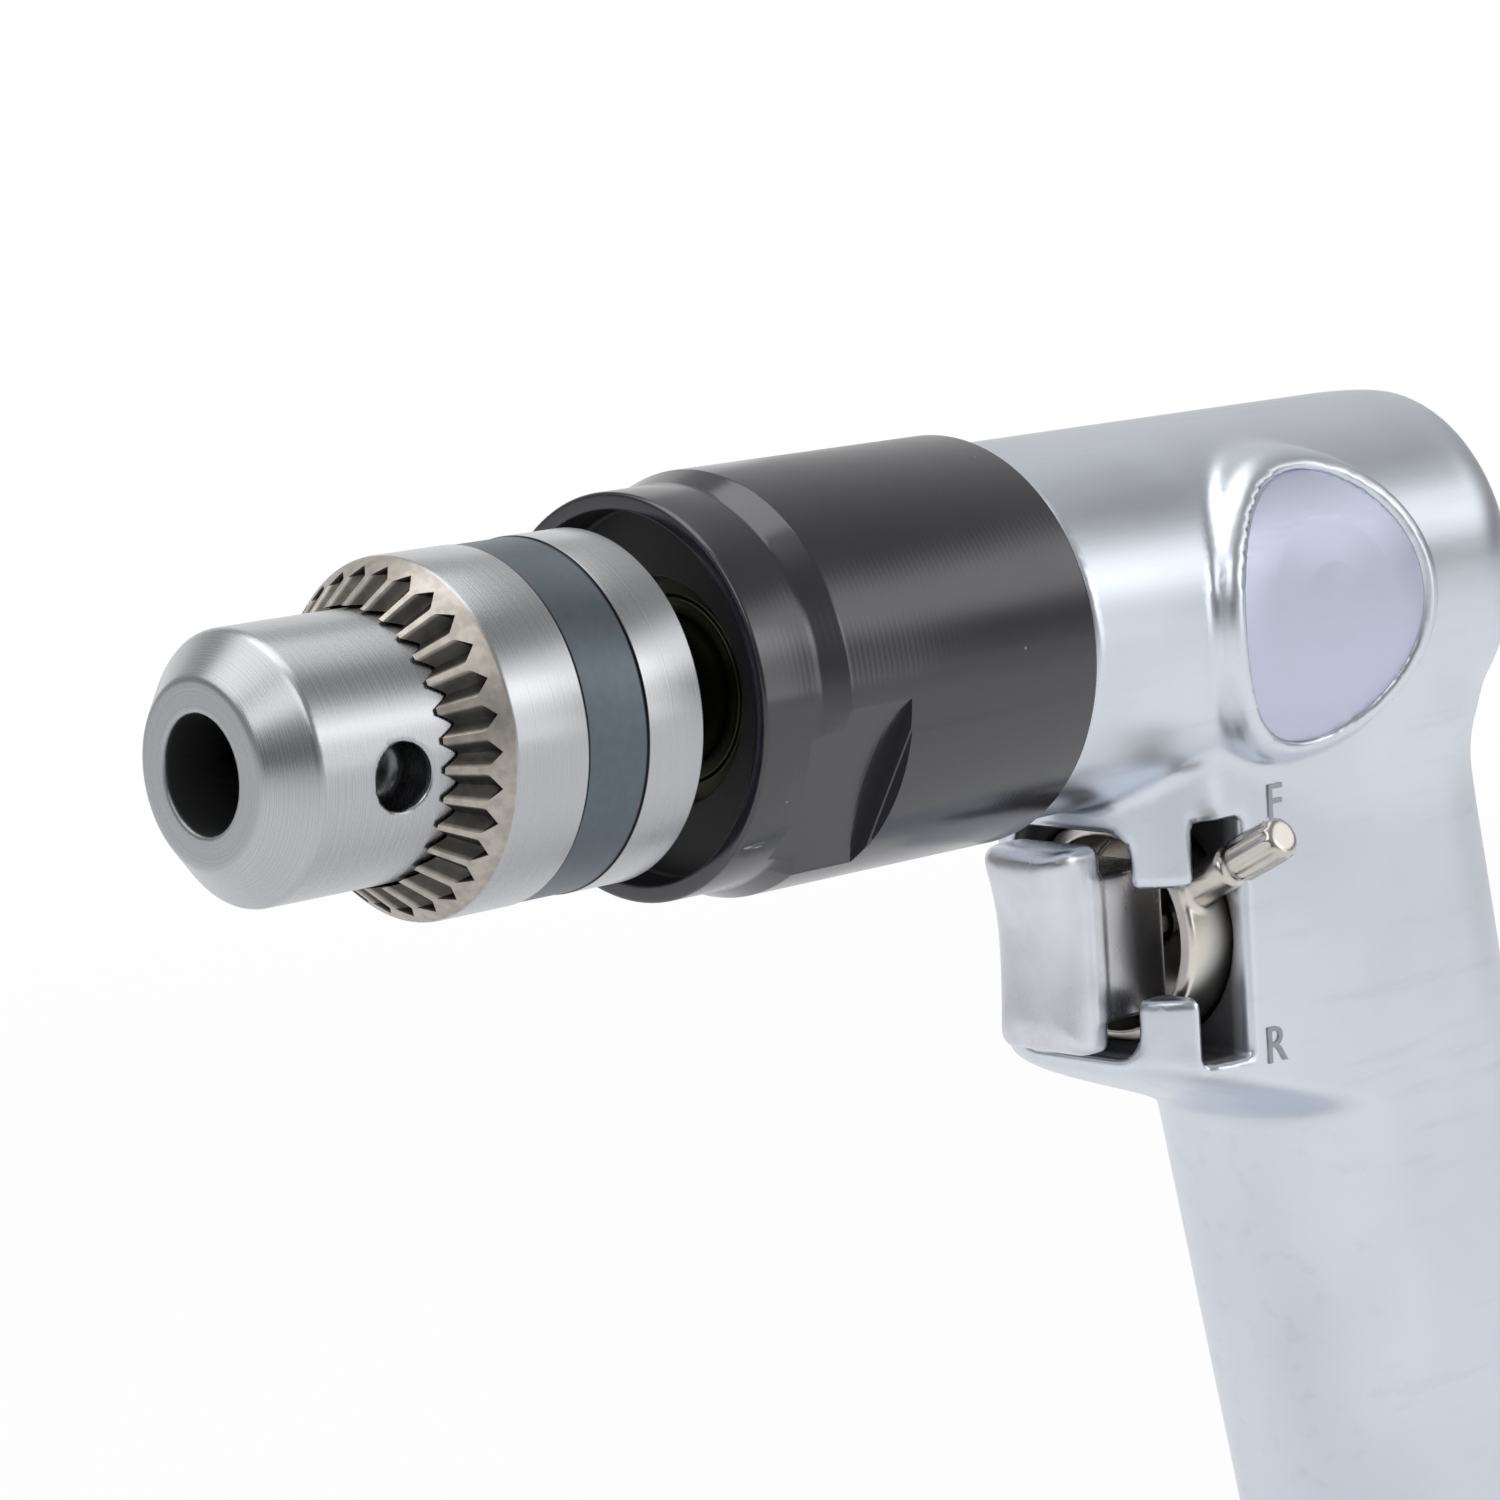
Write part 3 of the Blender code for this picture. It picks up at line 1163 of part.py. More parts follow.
def trigger():
    """Finger trigger with a hollowed front, and the stem that pushes the throttle valve."""
    top, tail = TRIGGER_HALF_HEIGHT, TRIGGER_TAIL_HALF_HEIGHT
    back = TRIGGER_FRONT_X + TRIGGER_PAD_DEPTH
    steps = 6
    outline = []
    for step in range(steps + 1):
        height = top - 2 * top * step / steps
        lean = TRIGGER_HORN * max(height / top, 0) ** 2 + 0.3 * TRIGGER_HORN * max(-height / top, 0) ** 2
        outline.append((TRIGGER_FRONT_X - lean, height))
    outline += [(back, -top), (back, -tail), (TRIGGER_TAIL_X, -tail)]
    outline += [(TRIGGER_TAIL_X, tail), (back, tail), (back, top)]
    item = extruded("trigger", outline, -TRIGGER_HALF_WIDTH, TRIGGER_HALF_WIDTH, "Y")
    item.location = (0, 0, VALVE_Z)
    socket = TRIGGER_TAIL_X - STEM_SOCKET
    hole = rod("cut_stem_socket", (socket, 0, VALVE_Z), (TRIGGER_TAIL_X + MM, 0, VALVE_Z), STEM_R + RUN_GAP, 14)
    paint(cut(item, hole), *ALUMINIUM)
    start, end = socket + SEAT_GAP, VALVE_HEAD_X - SEAT_GAP
    profile = [(start, 0), (start, STEM_R), (end, STEM_R), (end, 0)]
    paint(turned("trigger_stem", profile, 14, (0, VALVE_Z)), *STEEL)


def reverse_lever():
    """Cup-shaped ring behind the trigger with a finger pin that sweeps the side slot."""
    hole = STEM_R + SEAT_GAP
    floor = LEVER_BACK_X - LEVER_FLOOR
    lever = turned(
        "reverse_lever",
        [
            (LEVER_RING_X, LEVER_R - LEVER_RING_WALL),
            (LEVER_RING_X, LEVER_R),
            (LEVER_BACK_X, LEVER_R),
            (LEVER_BACK_X, hole),
            (floor, hole),
            (floor, LEVER_R - LEVER_RING_WALL),
        ],
        24,
        (0, VALVE_Z),
    )
    outward = direction(LEVER_ANGLE)
    centre = Vector((LEVER_PIN_X, 0, VALVE_Z))
    start = centre + outward * (LEVER_R - LEVER_RING_WALL / 2)
    pin = rod("join_lever_pin", start, centre + outward * LEVER_REACH, LEVER_PIN_R, 16)
    combine(lever, "UNION", pin)
    paint(lever, *STEEL)


def valves():
    """Rotary reverse valve, its seals, the throttle seat, valve head and spring, and the detent."""
    groove = 0.9 * MM
    inner = SPOOL_R - groove
    rear_groove = SPOOL_BACK_X - 2 * SEAL_WIDTH
    front_groove = SPOOL_X + SEAL_WIDTH
    slack = SEAL_WIDTH + 2 * RUN_GAP
    spool = turned(
        "reverse_valve",
        [
            (SPOOL_X, STEM_R + SEAT_GAP),
            (SPOOL_X, SPOOL_R),
            (front_groove, SPOOL_R),
            (front_groove, inner),
            (front_groove + slack, inner),
            (front_groove + slack, SPOOL_R),
            (rear_groove, SPOOL_R),
            (rear_groove, inner),
            (rear_groove + slack, inner),
            (rear_groove + slack, SPOOL_R),
            (SPOOL_BACK_X, SPOOL_R),
            (SPOOL_BACK_X, SPOOL_BORE_R),
            (SPOOL_X + SPOOL_WALL, SPOOL_BORE_R),
            (SPOOL_X + SPOOL_WALL, STEM_R + SEAT_GAP),
        ],
        18,
        (0, VALVE_Z),
    )
    port_x = SPOOL_X + SPOOL_LENGTH * 0.6
    centre = Vector((port_x, 0, VALVE_Z))
    port = rod("cut_spool_port", centre, centre + direction(115) * SPOOL_R * 1.3, SPOOL_PORT_R, 10)
    paint(cut(spool, port), *BRASS)
    for name, groove_x in (("front_valve_seal", front_groove), ("rear_valve_seal", rear_groove)):
        front = groove_x + RUN_GAP
        ring(name, front, front + SEAL_WIDTH, inner + RUN_GAP, SPOOL_R + 0.1 * MM, RUBBER, 16, VALVE_DROP)
    stem_seal = SPOOL_X + SPOOL_WALL + RUN_GAP
    inner_r, outer_r = STEM_R + RUN_GAP, SPOOL_BORE_R - RUN_GAP
    ring("stem_seal", stem_seal, stem_seal + SEAL_WIDTH, inner_r, outer_r, RUBBER, 16, VALVE_DROP)
    ring("throttle_seat", VALVE_SEAT_X, VALVE_SEAT_BACK_X, SEAT_HOLE_R, SPOOL_R, RUBBER, 16, VALVE_DROP)
    head_end = VALVE_HEAD_X + VALVE_HEAD_LENGTH
    head = turned(
        "throttle_valve",
        [
            (VALVE_HEAD_X, 0),
            (VALVE_HEAD_X, VALVE_HEAD_R),
            (head_end, VALVE_HEAD_R),
            (head_end, VALVE_GUIDE_R),
            (head_end + VALVE_GUIDE_LENGTH, VALVE_GUIDE_R),
            (head_end + VALVE_GUIDE_LENGTH, 0),
        ],
        16,
        (0, VALVE_Z),
    )
    paint(head, *BRASS)
    spring = helix(
        "throttle_spring", SPRING_X, SPRING_LENGTH, SPRING_R, SPRING_WIRE_R, SPRING_TURNS, (0, VALVE_Z)
    )
    paint(spring, *STEEL)

    height = VALVE_Z - DETENT_DROP
    ball_x = POCKET_BACK_X + DETENT_R
    profile = []
    for step in range(7):
        angle = math.pi * step / 6
        radius = 0 if step in (0, 6) else DETENT_R * math.sin(angle)
        profile.append((ball_x - DETENT_R * math.cos(angle), radius))
    paint(turned("detent_ball", profile, 12, (0, height)), *STEEL)
    coil_x = ball_x + DETENT_R + SEAT_GAP
    coil_r = DETENT_R - 0.3 * MM
    coil = helix("detent_spring", coil_x, DETENT_SPRING_LENGTH, coil_r, 0.2 * MM, 4, (0, height), 6, 3)
    paint(coil, *STEEL)


def grip_base():
    """Exhaust cap under the grip with its pad and screws, and the air inlet bushing with its screen."""
    rings = []
    for z, inset in ((0, 1.2 * MM), (1.2 * MM, 0), (CAP_THICKNESS, 0)):
        front, rear = grip_front(z), grip_rear(z)
        rings.append(grip_ring(z, front, rear, GRIP_BASE_HALF_WIDTH, GRIP_BASE_HALF_WIDTH, inset))
    cap = lofted("exhaust_cap", rings)
    hex_r = INLET_HEX / math.sqrt(3)
    muffler_back = MUFFLER_FRONT_X + MUFFLER_LENGTH
    cut(
        cap,
        rod("cut_cap_inlet", (INLET_X, 0, -MM), (INLET_X, 0, CAP_THICKNESS + MM), hex_r + 2 * SEAT_GAP, 24),
        block(
            "cut_cap_pocket",
            (MUFFLER_FRONT_X - SEAT_GAP, -MUFFLER_HALF_WIDTH - SEAT_GAP, CAP_FLOOR),
            (muffler_back + SEAT_GAP, MUFFLER_HALF_WIDTH + SEAT_GAP, CAP_THICKNESS + MM),
        ),
    )
    for number, share in enumerate((0.2, 0.5, 0.8)):
        x = MUFFLER_FRONT_X + MUFFLER_LENGTH * share
        slot_half = MUFFLER_HALF_WIDTH - 2 * MM
        low, high = (x - 0.8 * MM, -slot_half, -MM), (x + 0.8 * MM, slot_half, CAP_FLOOR + MM)
        cut(cap, block(f"cut_exhaust_slot_{number + 1}", low, high))
    for number, side in ((1, -1), (2, 1)):
        at = (CAP_SCREW_X, side * CAP_SCREW_Y)
        head_top = CAP_FLOOR + 0.6 * MM
        clearance = CAP_SCREW_R + RUN_GAP
        tool = standing(
            f"cut_cap_screw_{number}",
            [
                (-MM, 0),
                (-MM, CAP_SCREW_HEAD_R + RUN_GAP),
                (head_top + SEAT_GAP, CAP_SCREW_HEAD_R + RUN_GAP),
                (head_top + SEAT_GAP, clearance),
                (CAP_THICKNESS + MM, clearance),
                (CAP_THICKNESS + MM, 0),
            ],
            14,
            at,
        )
        cut(cap, tool)
        screw = standing(
            f"cap_screw_{number}",
            [
                (0.6 * MM, 0),
                (0.6 * MM, CAP_SCREW_HEAD_R),
                (head_top, CAP_SCREW_HEAD_R),
                (head_top, CAP_SCREW_R),
                (CAP_FLOOR + CAP_SCREW_LENGTH, CAP_SCREW_R),
                (CAP_FLOOR + CAP_SCREW_LENGTH, 0),
            ],
            14,
            at,
        )
        paint(screw, *DARK_STEEL)
    paint(cap, *BLACK)
    low = (MUFFLER_FRONT_X, -MUFFLER_HALF_WIDTH, CAP_FLOOR + SEAT_GAP)
    paint(block("muffler_pad", low, (muffler_back, MUFFLER_HALF_WIDTH, CAP_THICKNESS)), *FELT)

    bushing_top = INLET_RECESS + INLET_LENGTH
    head_top = INLET_RECESS + INLET_HEAD
    bushing = standing(
        "inlet_bushing",
        [
            (head_top - MM, 0),
            (head_top - MM, INLET_THREAD_R),
            (bushing_top, INLET_THREAD_R),
            (bushing_top, 0),
        ],
        20,
        (INLET_X, 0),
    )
    corners = [(math.radians(60 * index), hex_r) for index in range(6)]
    outline = [(INLET_X + reach * math.cos(turn), reach * math.sin(turn)) for turn, reach in corners]
    head = extruded("join_inlet_hex", outline, INLET_RECESS, head_top, "Z")
    combine(bushing, "UNION", head)
    cut(bushing, rod("cut_inlet_bore", (INLET_X, 0, -MM), (INLET_X, 0, bushing_top + MM), INLET_BORE_R, 20))
    paint(bushing, *STEEL)
    screen_z = bushing_top + SEAT_GAP
    screen = standing(
        "inlet_screen",
        [
            (screen_z, 0),
            (screen_z, INLET_THREAD_R),
            (screen_z + SCREEN_THICKNESS, INLET_THREAD_R),
            (screen_z + SCREEN_THICKNESS, 0),
        ],
        20,
        (INLET_X, 0),
    )
    holes = [(0, 0)] + [(60 * index, 3.4 * MM) for index in range(6)]
    for number, (angle, reach) in enumerate(holes):
        x = INLET_X + reach * math.cos(math.radians(angle))
        y = reach * math.sin(math.radians(angle))
        low, high = screen_z - MM, screen_z + SCREEN_THICKNESS + MM
        cut(screen, rod(f"cut_screen_hole_{number}", (x, y, low), (x, y, high), 1.1 * MM, 8))
    paint(screen, *BRASS)


def on_axis(empty_name, location, *names):
    """Parents pieces to an empty on their joint's axis, leaving them where they are."""
    empty = bpy.data.objects.new(empty_name, None)
    empty.location = location
    bpy.context.scene.collection.objects.link(empty)
    for name in names:
        item = bpy.data.objects[name]
        item.parent = empty
        item.matrix_parent_inverse = Matrix.Translation(Vector(location)).inverted()


def joint_axes():
    vanes = [f"rotor_vane_{index + 1}" for index in range(VANE_COUNT)]
    pins = [f"planet_pin_{index + 1}" for index in range(PLANET_COUNT)]
    on_axis("rotor_axis", (LINER_X, 0, AXIS_Z), "rotor", *vanes)
    names = ["spindle", "carrier_back_plate", "chuck_body", "chuck_screw", *pins]
    on_axis("spindle_axis", (SLEEVE_FRONT_X, 0, AXIS_Z), *names)
    nuts = ["chuck_nut_half_1", "chuck_nut_half_2"]
    on_axis("chuck_sleeve_axis", (CHUCK_SLEEVE_FRONT_X, 0, AXIS_Z), "chuck_sleeve", *nuts)
    for index in range(PLANET_COUNT):
        centre = planet_centre(index)
        place = (PLANET_FRONT_X, centre.y, centre.z)
        on_axis(f"planet_axis_{index + 1}", place, f"planet_gear_{index + 1}")
    for index in range(JAW_COUNT):
        tip = jaw_line(index, JAW_TIP_X, JAW_TIP_X)[0]
        on_axis(f"jaw_axis_{index + 1}", tip, f"chuck_jaw_{index + 1}")
    on_axis("trigger_axis", (TRIGGER_FRONT_X, 0, VALVE_Z), "trigger", "trigger_stem")
    on_axis("throttle_axis", (VALVE_HEAD_X, 0, VALVE_Z), "throttle_valve")
    turning = ["reverse_lever", "reverse_valve", "front_valve_seal", "rear_valve_seal", "stem_seal"]
    on_axis("lever_axis", (LEVER_PIN_X, 0, VALVE_Z), *turning)


def main():
    for item in list(bpy.data.objects):
        bpy.data.objects.remove(item, do_unlink=True)
    motor_housing()
    label_plate()
    front_sleeve()
    ring_gear()
    planets()
    spindle()
    bearings()
    air_motor()
    chuck_body()
    chuck_jaws()
    chuck_sleeve()
    chuck_nut()
    chuck_screw()
    trigger()
    reverse_lever()
    valves()
    grip_base()
    joint_axes()


main()
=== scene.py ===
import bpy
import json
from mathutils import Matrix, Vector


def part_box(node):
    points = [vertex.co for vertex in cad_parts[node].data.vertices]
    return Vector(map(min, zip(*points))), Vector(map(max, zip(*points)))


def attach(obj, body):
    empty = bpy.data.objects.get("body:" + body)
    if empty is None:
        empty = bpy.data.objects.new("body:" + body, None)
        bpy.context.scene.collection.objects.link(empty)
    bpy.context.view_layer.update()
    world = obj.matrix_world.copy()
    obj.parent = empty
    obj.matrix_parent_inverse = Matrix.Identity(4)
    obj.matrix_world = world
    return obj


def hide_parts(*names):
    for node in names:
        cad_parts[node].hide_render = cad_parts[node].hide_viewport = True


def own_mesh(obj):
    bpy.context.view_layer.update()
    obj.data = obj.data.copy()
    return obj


bl_info = {
    "name": "Reversible Air Drill",
    "version": (1, 0, 0),
    "blender": (4, 5, 0),
    "location": "View3D > Sidebar > Air Drill",
    "description": "Builds the finished surfaces of a pistol-grip air drill round its solids",
    "category": "Add Mesh",
}

import json
import math

import bmesh
import bpy
import numpy as np
from bpy.props import FloatProperty, FloatVectorProperty, IntProperty, PointerProperty
from mathutils import Vector

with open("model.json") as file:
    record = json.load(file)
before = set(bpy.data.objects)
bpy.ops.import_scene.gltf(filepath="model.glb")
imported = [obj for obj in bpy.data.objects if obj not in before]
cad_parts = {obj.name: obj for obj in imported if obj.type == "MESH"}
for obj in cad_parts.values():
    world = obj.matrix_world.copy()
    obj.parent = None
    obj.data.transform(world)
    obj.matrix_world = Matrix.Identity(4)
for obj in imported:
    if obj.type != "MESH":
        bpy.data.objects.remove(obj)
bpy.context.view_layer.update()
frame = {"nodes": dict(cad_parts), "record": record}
MM = 0.001
# Places and sizes that several pieces share, in millimetres.
NOSE_X = -156
BAND_FRONT, BAND_BACK = -125.0, -118.1
INLET_X = 12
SCREW_X, SCREW_Y = 2, 10.4
JAW_LEAN = math.radians(16)
JAW_TRAVEL, JAW_LENGTH, JAW_FLAT_HALF = 16, 21, 0.8
JAW_TIP_X = NOSE_X + 1.8 + JAW_TRAVEL * math.cos(JAW_LEAN)
SPRING_WIRE, SPRING_TURNS, TRIGGER_TRAVEL = 0.5, 4, 5.0


# ---------------------------------------------------------------- sizes and colours


def length(name, description, millimetres):
    """A length property, given in millimetres and kept in metres."""
    return FloatProperty(
        name=name, description=description, default=millimetres * MM, unit="LENGTH", precision=5
    )


def colour(name, description, red, green, blue):
    return FloatVectorProperty(
        name=name,
        description=description,
        default=(red, green, blue),
        subtype="COLOR",
        min=0,
        max=1,
    )


class HousingSizes(bpy.types.PropertyGroup):
    axis_z: length("Spindle height", "Height of the spindle's axis above the base", 130)
    front_x: length("Front", "Front face of the motor body", -62)
    rear_x: length("Rear", "Rear face of the motor body", 7)
    side_r: length("Side radius", "Half the body's width", 21.2)
    front_side_r: length("Front side radius", "Half the body's width at its front", 20.4)
    height_r: length("Height radius", "Half the body's height", 19.5)
    motor_bore_r: length("Motor bore", "Radius of the bore for the air motor", 16)
    spigot_r: length("Spigot", "Radius of the spigot that the sleeve screws onto", 18.1)
    grip_half: length("Grip half width", "Half the grip's width at the trigger", 14.8)
    grip_base_half: length("Base half width", "Half the grip's width at its base", 13.8)
    guard_x: length("Guard front", "Front of the ears beside the trigger", -47)
    fillet: length("Grip fillet", "How softly the grip runs into the body", 8)
    pad_x: length("Pad centre", "Centre of the label pad along the body", -28.3)
    pad_r: length("Pad radius", "Radius of the label pad", 16.6)
    pad_rim: length("Pad rim", "Width of the pad's raised rim", 2.6)
    pad_curve_r: length("Pad height", "Radius of the pad's face about the spindle axis", 23.2)
    valve_z: length("Valve height", "Height of the trigger and valve line", 96.2)
    edge: length("Edge", "How softly a cast edge is rounded", 0.8)
    cell: length("Cell", "Cell of the casting's surface", 0.75)


class SleeveSizes(bpy.types.PropertyGroup):
    radius: length("Radius", "Outer radius of the black sleeve", 20.9)
    nose_r: length("Nose radius", "Radius of the sleeve's front ring", 19.8)
    nose_length: length("Nose length", "Length of the sleeve's front ring", 7.2)
    step_length: length("Step length", "Length of the slope behind the front ring", 2.9)
    mouth_r: length("Mouth radius", "Radius of the open mouth", 18.1)
    flat_distance: length("Flat distance", "Distance of a wrench flat from the axis", 18.54)
    flat_start: length("Flat start", "Distance of a flat from the sleeve's front", 5.9)
    flat_length: length("Flat length", "Length of a wrench flat", 12)
    flat_angle: FloatProperty(
        name="Flat angle",
        description="Turn of the left flat from the tool's left side",
        default=math.radians(-31),
        subtype="ANGLE",
    )


class ChuckSizes(bpy.types.PropertyGroup):
    nose_r: length("Nose radius", "Radius of the chuck's nose", 12.7)
    face_r: length("Face radius", "Outer radius of the flat ring in front", 8.7)
    cone: length("Cone length", "Length of the nose's cone", 3.8)
    bore_r: length("Bore radius", "Radius of the bit's bore", 5.5)
    bore_depth: length("Bore depth", "Depth of the bit's bore", 27)
    key_hole_r: length("Key hole radius", "Radius of a key hole", 3.25)
    key_hole_x: length("Key hole place", "Place of the key holes along the axis", -143)
    sleeve_r: length("Sleeve radius", "Radius of the toothed sleeve", 17)
    sleeve_front_x: length("Sleeve front", "Front of the toothed sleeve", -138.7)
    bevel: length("Bevel length", "Length of the bevel with the teeth", 5.1)
    tooth_length: length("Tooth length", "Length of the teeth along the axis", 4.1)
    tooth_depth: length("Tooth depth", "Depth of a tooth gap along the axis", 1.9)
    teeth: IntProperty(name="Teeth", description="Number of bevel teeth", default=30, min=6)


class HandSizes(bpy.types.PropertyGroup):
    trigger_x: length("Trigger front", "Front of the trigger", -53.3)
    trigger_half: length("Trigger half width", "Half the trigger's width", 6)
    trigger_height: length("Trigger half height", "Half the height of the finger pad", 10.9)
    lever_r: length("Lever ring", "Outer radius of the reversing ring", 12.1)
    lever_reach: length("Lever reach", "Reach of the lever's pin from the valve line", 26)
    lever_pin_r: length("Lever pin", "Radius of the lever's pin", 2.4)
    letter: length("Letter height", "Height of the raised letters at the lever", 4)


class DrillColours(bpy.types.PropertyGroup):
    casting: colour("Casting", "Polished housing", 0.74, 0.785, 0.85)
    # Painted shade: a near black colour for the pockets and slots, standing for the shade inside
    # them.
    casting_pocket_shade: colour("Casting inside", "Painted shade in unpolished pockets", 0.1, 0.1, 0.11)
    plate: colour("Plate", "Bare label plate", 0.62, 0.66, 0.79)
    sleeve: colour("Sleeve", "Black sleeve", 0.011, 0.011, 0.018)
    chuck: colour("Chuck", "Machined chuck body", 0.53, 0.54, 0.555)
    chuck_teeth: colour("Teeth", "Grainy bevel and teeth", 0.5, 0.465, 0.42)
    chuck_band: colour("Band", "Dark band round the chuck", 0.15, 0.18, 0.205)
    jaw: colour("Jaw", "Hardened jaws", 0.09, 0.09, 0.1)
    trigger: colour("Trigger", "Trigger", 0.76, 0.77, 0.82)
    lever: colour("Lever", "Nickelled lever", 0.78, 0.74, 0.68)
    cap: colour("Cap", "Exhaust cap", 0.03, 0.031, 0.035)


class StageSettings(bpy.types.PropertyGroup):
    heading: FloatProperty(
        name="Heading",
        description="Turn of the camera from +Y towards +X",
        default=math.radians(42.307),
        subtype="ANGLE",
    )
    lens: FloatProperty(
        name="Lens", description="Focal length on a 36 mm sensor", default=115.77, unit="CAMERA"
    )
    key: FloatProperty(
        name="Key light", description="Power of the key softbox", default=0.8, unit="POWER"
    )
    sky: FloatProperty(name="Sky", description="Strength of the plain studio light", default=0.75)


class DrillSettings(bpy.types.PropertyGroup):
    housing: PointerProperty(type=HousingSizes)
    sleeve: PointerProperty(type=SleeveSizes)
    chuck: PointerProperty(type=ChuckSizes)
    hand: PointerProperty(type=HandSizes)
    colours: PointerProperty(type=DrillColours)
    stage: PointerProperty(type=StageSettings)


class InMillimetres:
    """Reads the lengths of a property group in millimetres."""

    def __init__(self, group):
        self.group = group

    def __getattr__(self, name):
        return getattr(self.group, name) / MM


def span(node):
    """Lowest and highest corner of a CAD node, in millimetres."""
    low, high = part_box(node)
    return np.array(low) / MM, np.array(high) / MM


# ------------------------------------------------------ fields in millimetres, negative inside


def smooth_min(a, b, k):
    """The lower of two fields. Where they differ by less than k, a parabola rounds the corner."""
    share = np.clip(0.5 + 0.5 * (b - a) / k, 0, 1)
    return b + (a - b) * share - k * share * (1 - share)


def smooth_max(a, b, k):
    return -smooth_min(-a, -b, k)


def carve(field, tool, k=0.0):
    """Takes the tool out of the field: the higher of the field and the tool turned inside out."""
    return smooth_max(field, -tool, k) if k else np.maximum(field, -tool)


def ease(low, high, value):
    """0 below low, 1 above high, and a cubic between them."""
    t = np.clip((value - low) / (high - low), 0, 1)
    return t * t * (3 - 2 * t)


def rod(p, start, end, radius, k=0.0):
    """Round bar: distance from its line less the radius, cut by both end planes."""
    start, end = np.array(start, float), np.array(end, float)
    reach = np.linalg.norm(end - start)
    unit = (end - start) / reach
    offset = p - start
    along = offset @ unit
    across = np.sqrt(np.maximum((offset**2).sum(-1) - along**2, 0)) - radius
    ends = np.maximum(-along, along - reach)
    return smooth_max(across, ends, k) if k else np.maximum(across, ends)


def level(p, start, end, z, radius, k=0.0):
    """Round bar along X at height z."""
    return rod(p, (start, 0, z), (end, 0, z), radius, k)


def upright(p, x, y, low, high, radius, k=0.0):
    """Round bar along Z."""
    return rod(p, (x, y, low), (x, y, high), radius, k)


def six_sided(one, two):
    """Distance from the middle of a hexagon, measured square to its nearest side."""
    turns = np.radians((0, 60, 120))
    return np.max([np.abs(one * math.cos(t) + two * math.sin(t)) for t in turns], 0)


def box(p, low, high, corner=0.0):
    """Block: distance outside its faces, with edges rounded by the corner radius."""
    low, high = np.array(low, float), np.array(high, float)
    past = np.abs(p - (low + high) / 2) - (high - low) / 2 + corner
    outside = np.sqrt((np.maximum(past, 0) ** 2).sum(-1))
    return outside + np.minimum(past.max(-1), 0) - corner


def settle(field, points, cell, steps=3):
    """Moves points onto the surface. Each step is the field times its gradient, over the gradient
    squared, and at most half a cell."""
    reach = 0.1 * cell
    for _ in range(steps):
        slopes = []
        for axis in range(3):
            shift = np.zeros(3)
            shift[axis] = reach
            slopes.append((field(points + shift) - field(points - shift)) / (2 * reach))
        slope = np.stack(slopes, -1)
        steep = np.maximum((slope**2).sum(-1), 0.1)
        move = slope * (field(points) / steep)[:, None]
        size = np.maximum(np.linalg.norm(move, axis=1, keepdims=True), 1e-9)
        points = points - move * np.minimum(1, 0.5 * cell / size)
    return points


def surface_net(field, low, high, cell):
    """Closed quads round the field's zero: one point in each grid cell that the surface crosses,
    at the mean of its edges' crossings, and one quad round each grid edge whose ends differ in
    sign. Then the points are settled, evened out with their neighbours and settled again."""
    low, high = np.array(low, float) - 1.6 * cell, np.array(high, float) + 1.6 * cell
    counts = np.ceil((high - low) / cell).astype(int) + 1
    lines = [low[axis] + cell * np.arange(counts[axis]) for axis in range(3)]
    value = field(np.stack(np.meshgrid(*lines, indexing="ij"), -1))
    value = np.where(value == 0, 1e-9, value)
    corners = np.array([(a, b, c) for a in (0, 1) for b in (0, 1) for c in (0, 1)])
    n = counts - 1
    at_corner = np.stack(
        [value[a : n[0] + a, b : n[1] + b, c : n[2] + c] for a, b, c in corners], -1
    )
    mixed = (at_corner.min(-1) < 0) & (at_corner.max(-1) > 0)
    index = np.full(mixed.shape, -1)
    index[mixed] = np.arange(mixed.sum())
    at_corner = at_corner[mixed]
    total, crossings = np.zeros((len(at_corner), 3)), np.zeros((len(at_corner), 1))
    for a in range(8):
        for b in range(a + 1, 8):
            if np.abs(corners[a] - corners[b]).sum() != 1:
                continue
            one, two = at_corner[:, a], at_corner[:, b]
            crossed = ((one < 0) != (two < 0))[:, None]
            share = (one / np.where(one == two, 1, one - two))[:, None]
            total += np.where(crossed, corners[a] + share * (corners[b] - corners[a]), 0)
            crossings += crossed
    points = low + cell * (np.argwhere(mixed) + total / np.maximum(crossings, 1))
    inside, quads = value < 0, []
    for axis in range(3):
        one, two = (axis + 1) % 3, (axis + 2) % 3
        first = [slice(None)] * 3
        second = [slice(None)] * 3
        first[axis], second[axis] = slice(0, -1), slice(1, None)
        starts = inside[tuple(first)]
        changed = starts != inside[tuple(second)]
        here = np.argwhere(changed)
        quad = []
        for a, b in ((0, 0), (1, 0), (1, 1), (0, 1)):
            there = here.copy()
            there[:, one] -= a
            there[:, two] -= b
            quad.append(index[tuple(there.T)])
        quad = np.stack(quad, 1)
        leaving = starts[changed][:, None]
        quads.append(np.where(leaving, quad, quad[:, ::-1]))
    quads = np.concatenate(quads)
    points = settle(field, points, cell)
    sums, counts = np.zeros_like(points), np.zeros(len(points))
    for a, b in ((0, 1), (1, 2), (2, 3), (3, 0)):
        for here, there in ((quads[:, a], quads[:, b]), (quads[:, b], quads[:, a])):
            counts += np.bincount(here, minlength=len(points))
            for axis in range(3):
                sums[:, axis] += np.bincount(here, points[there, axis], len(points))
    points = settle(field, 0.5 * points + 0.5 * sums / counts[:, None], cell)
    return points, quads


# ---------------------------------------------------------------- grids


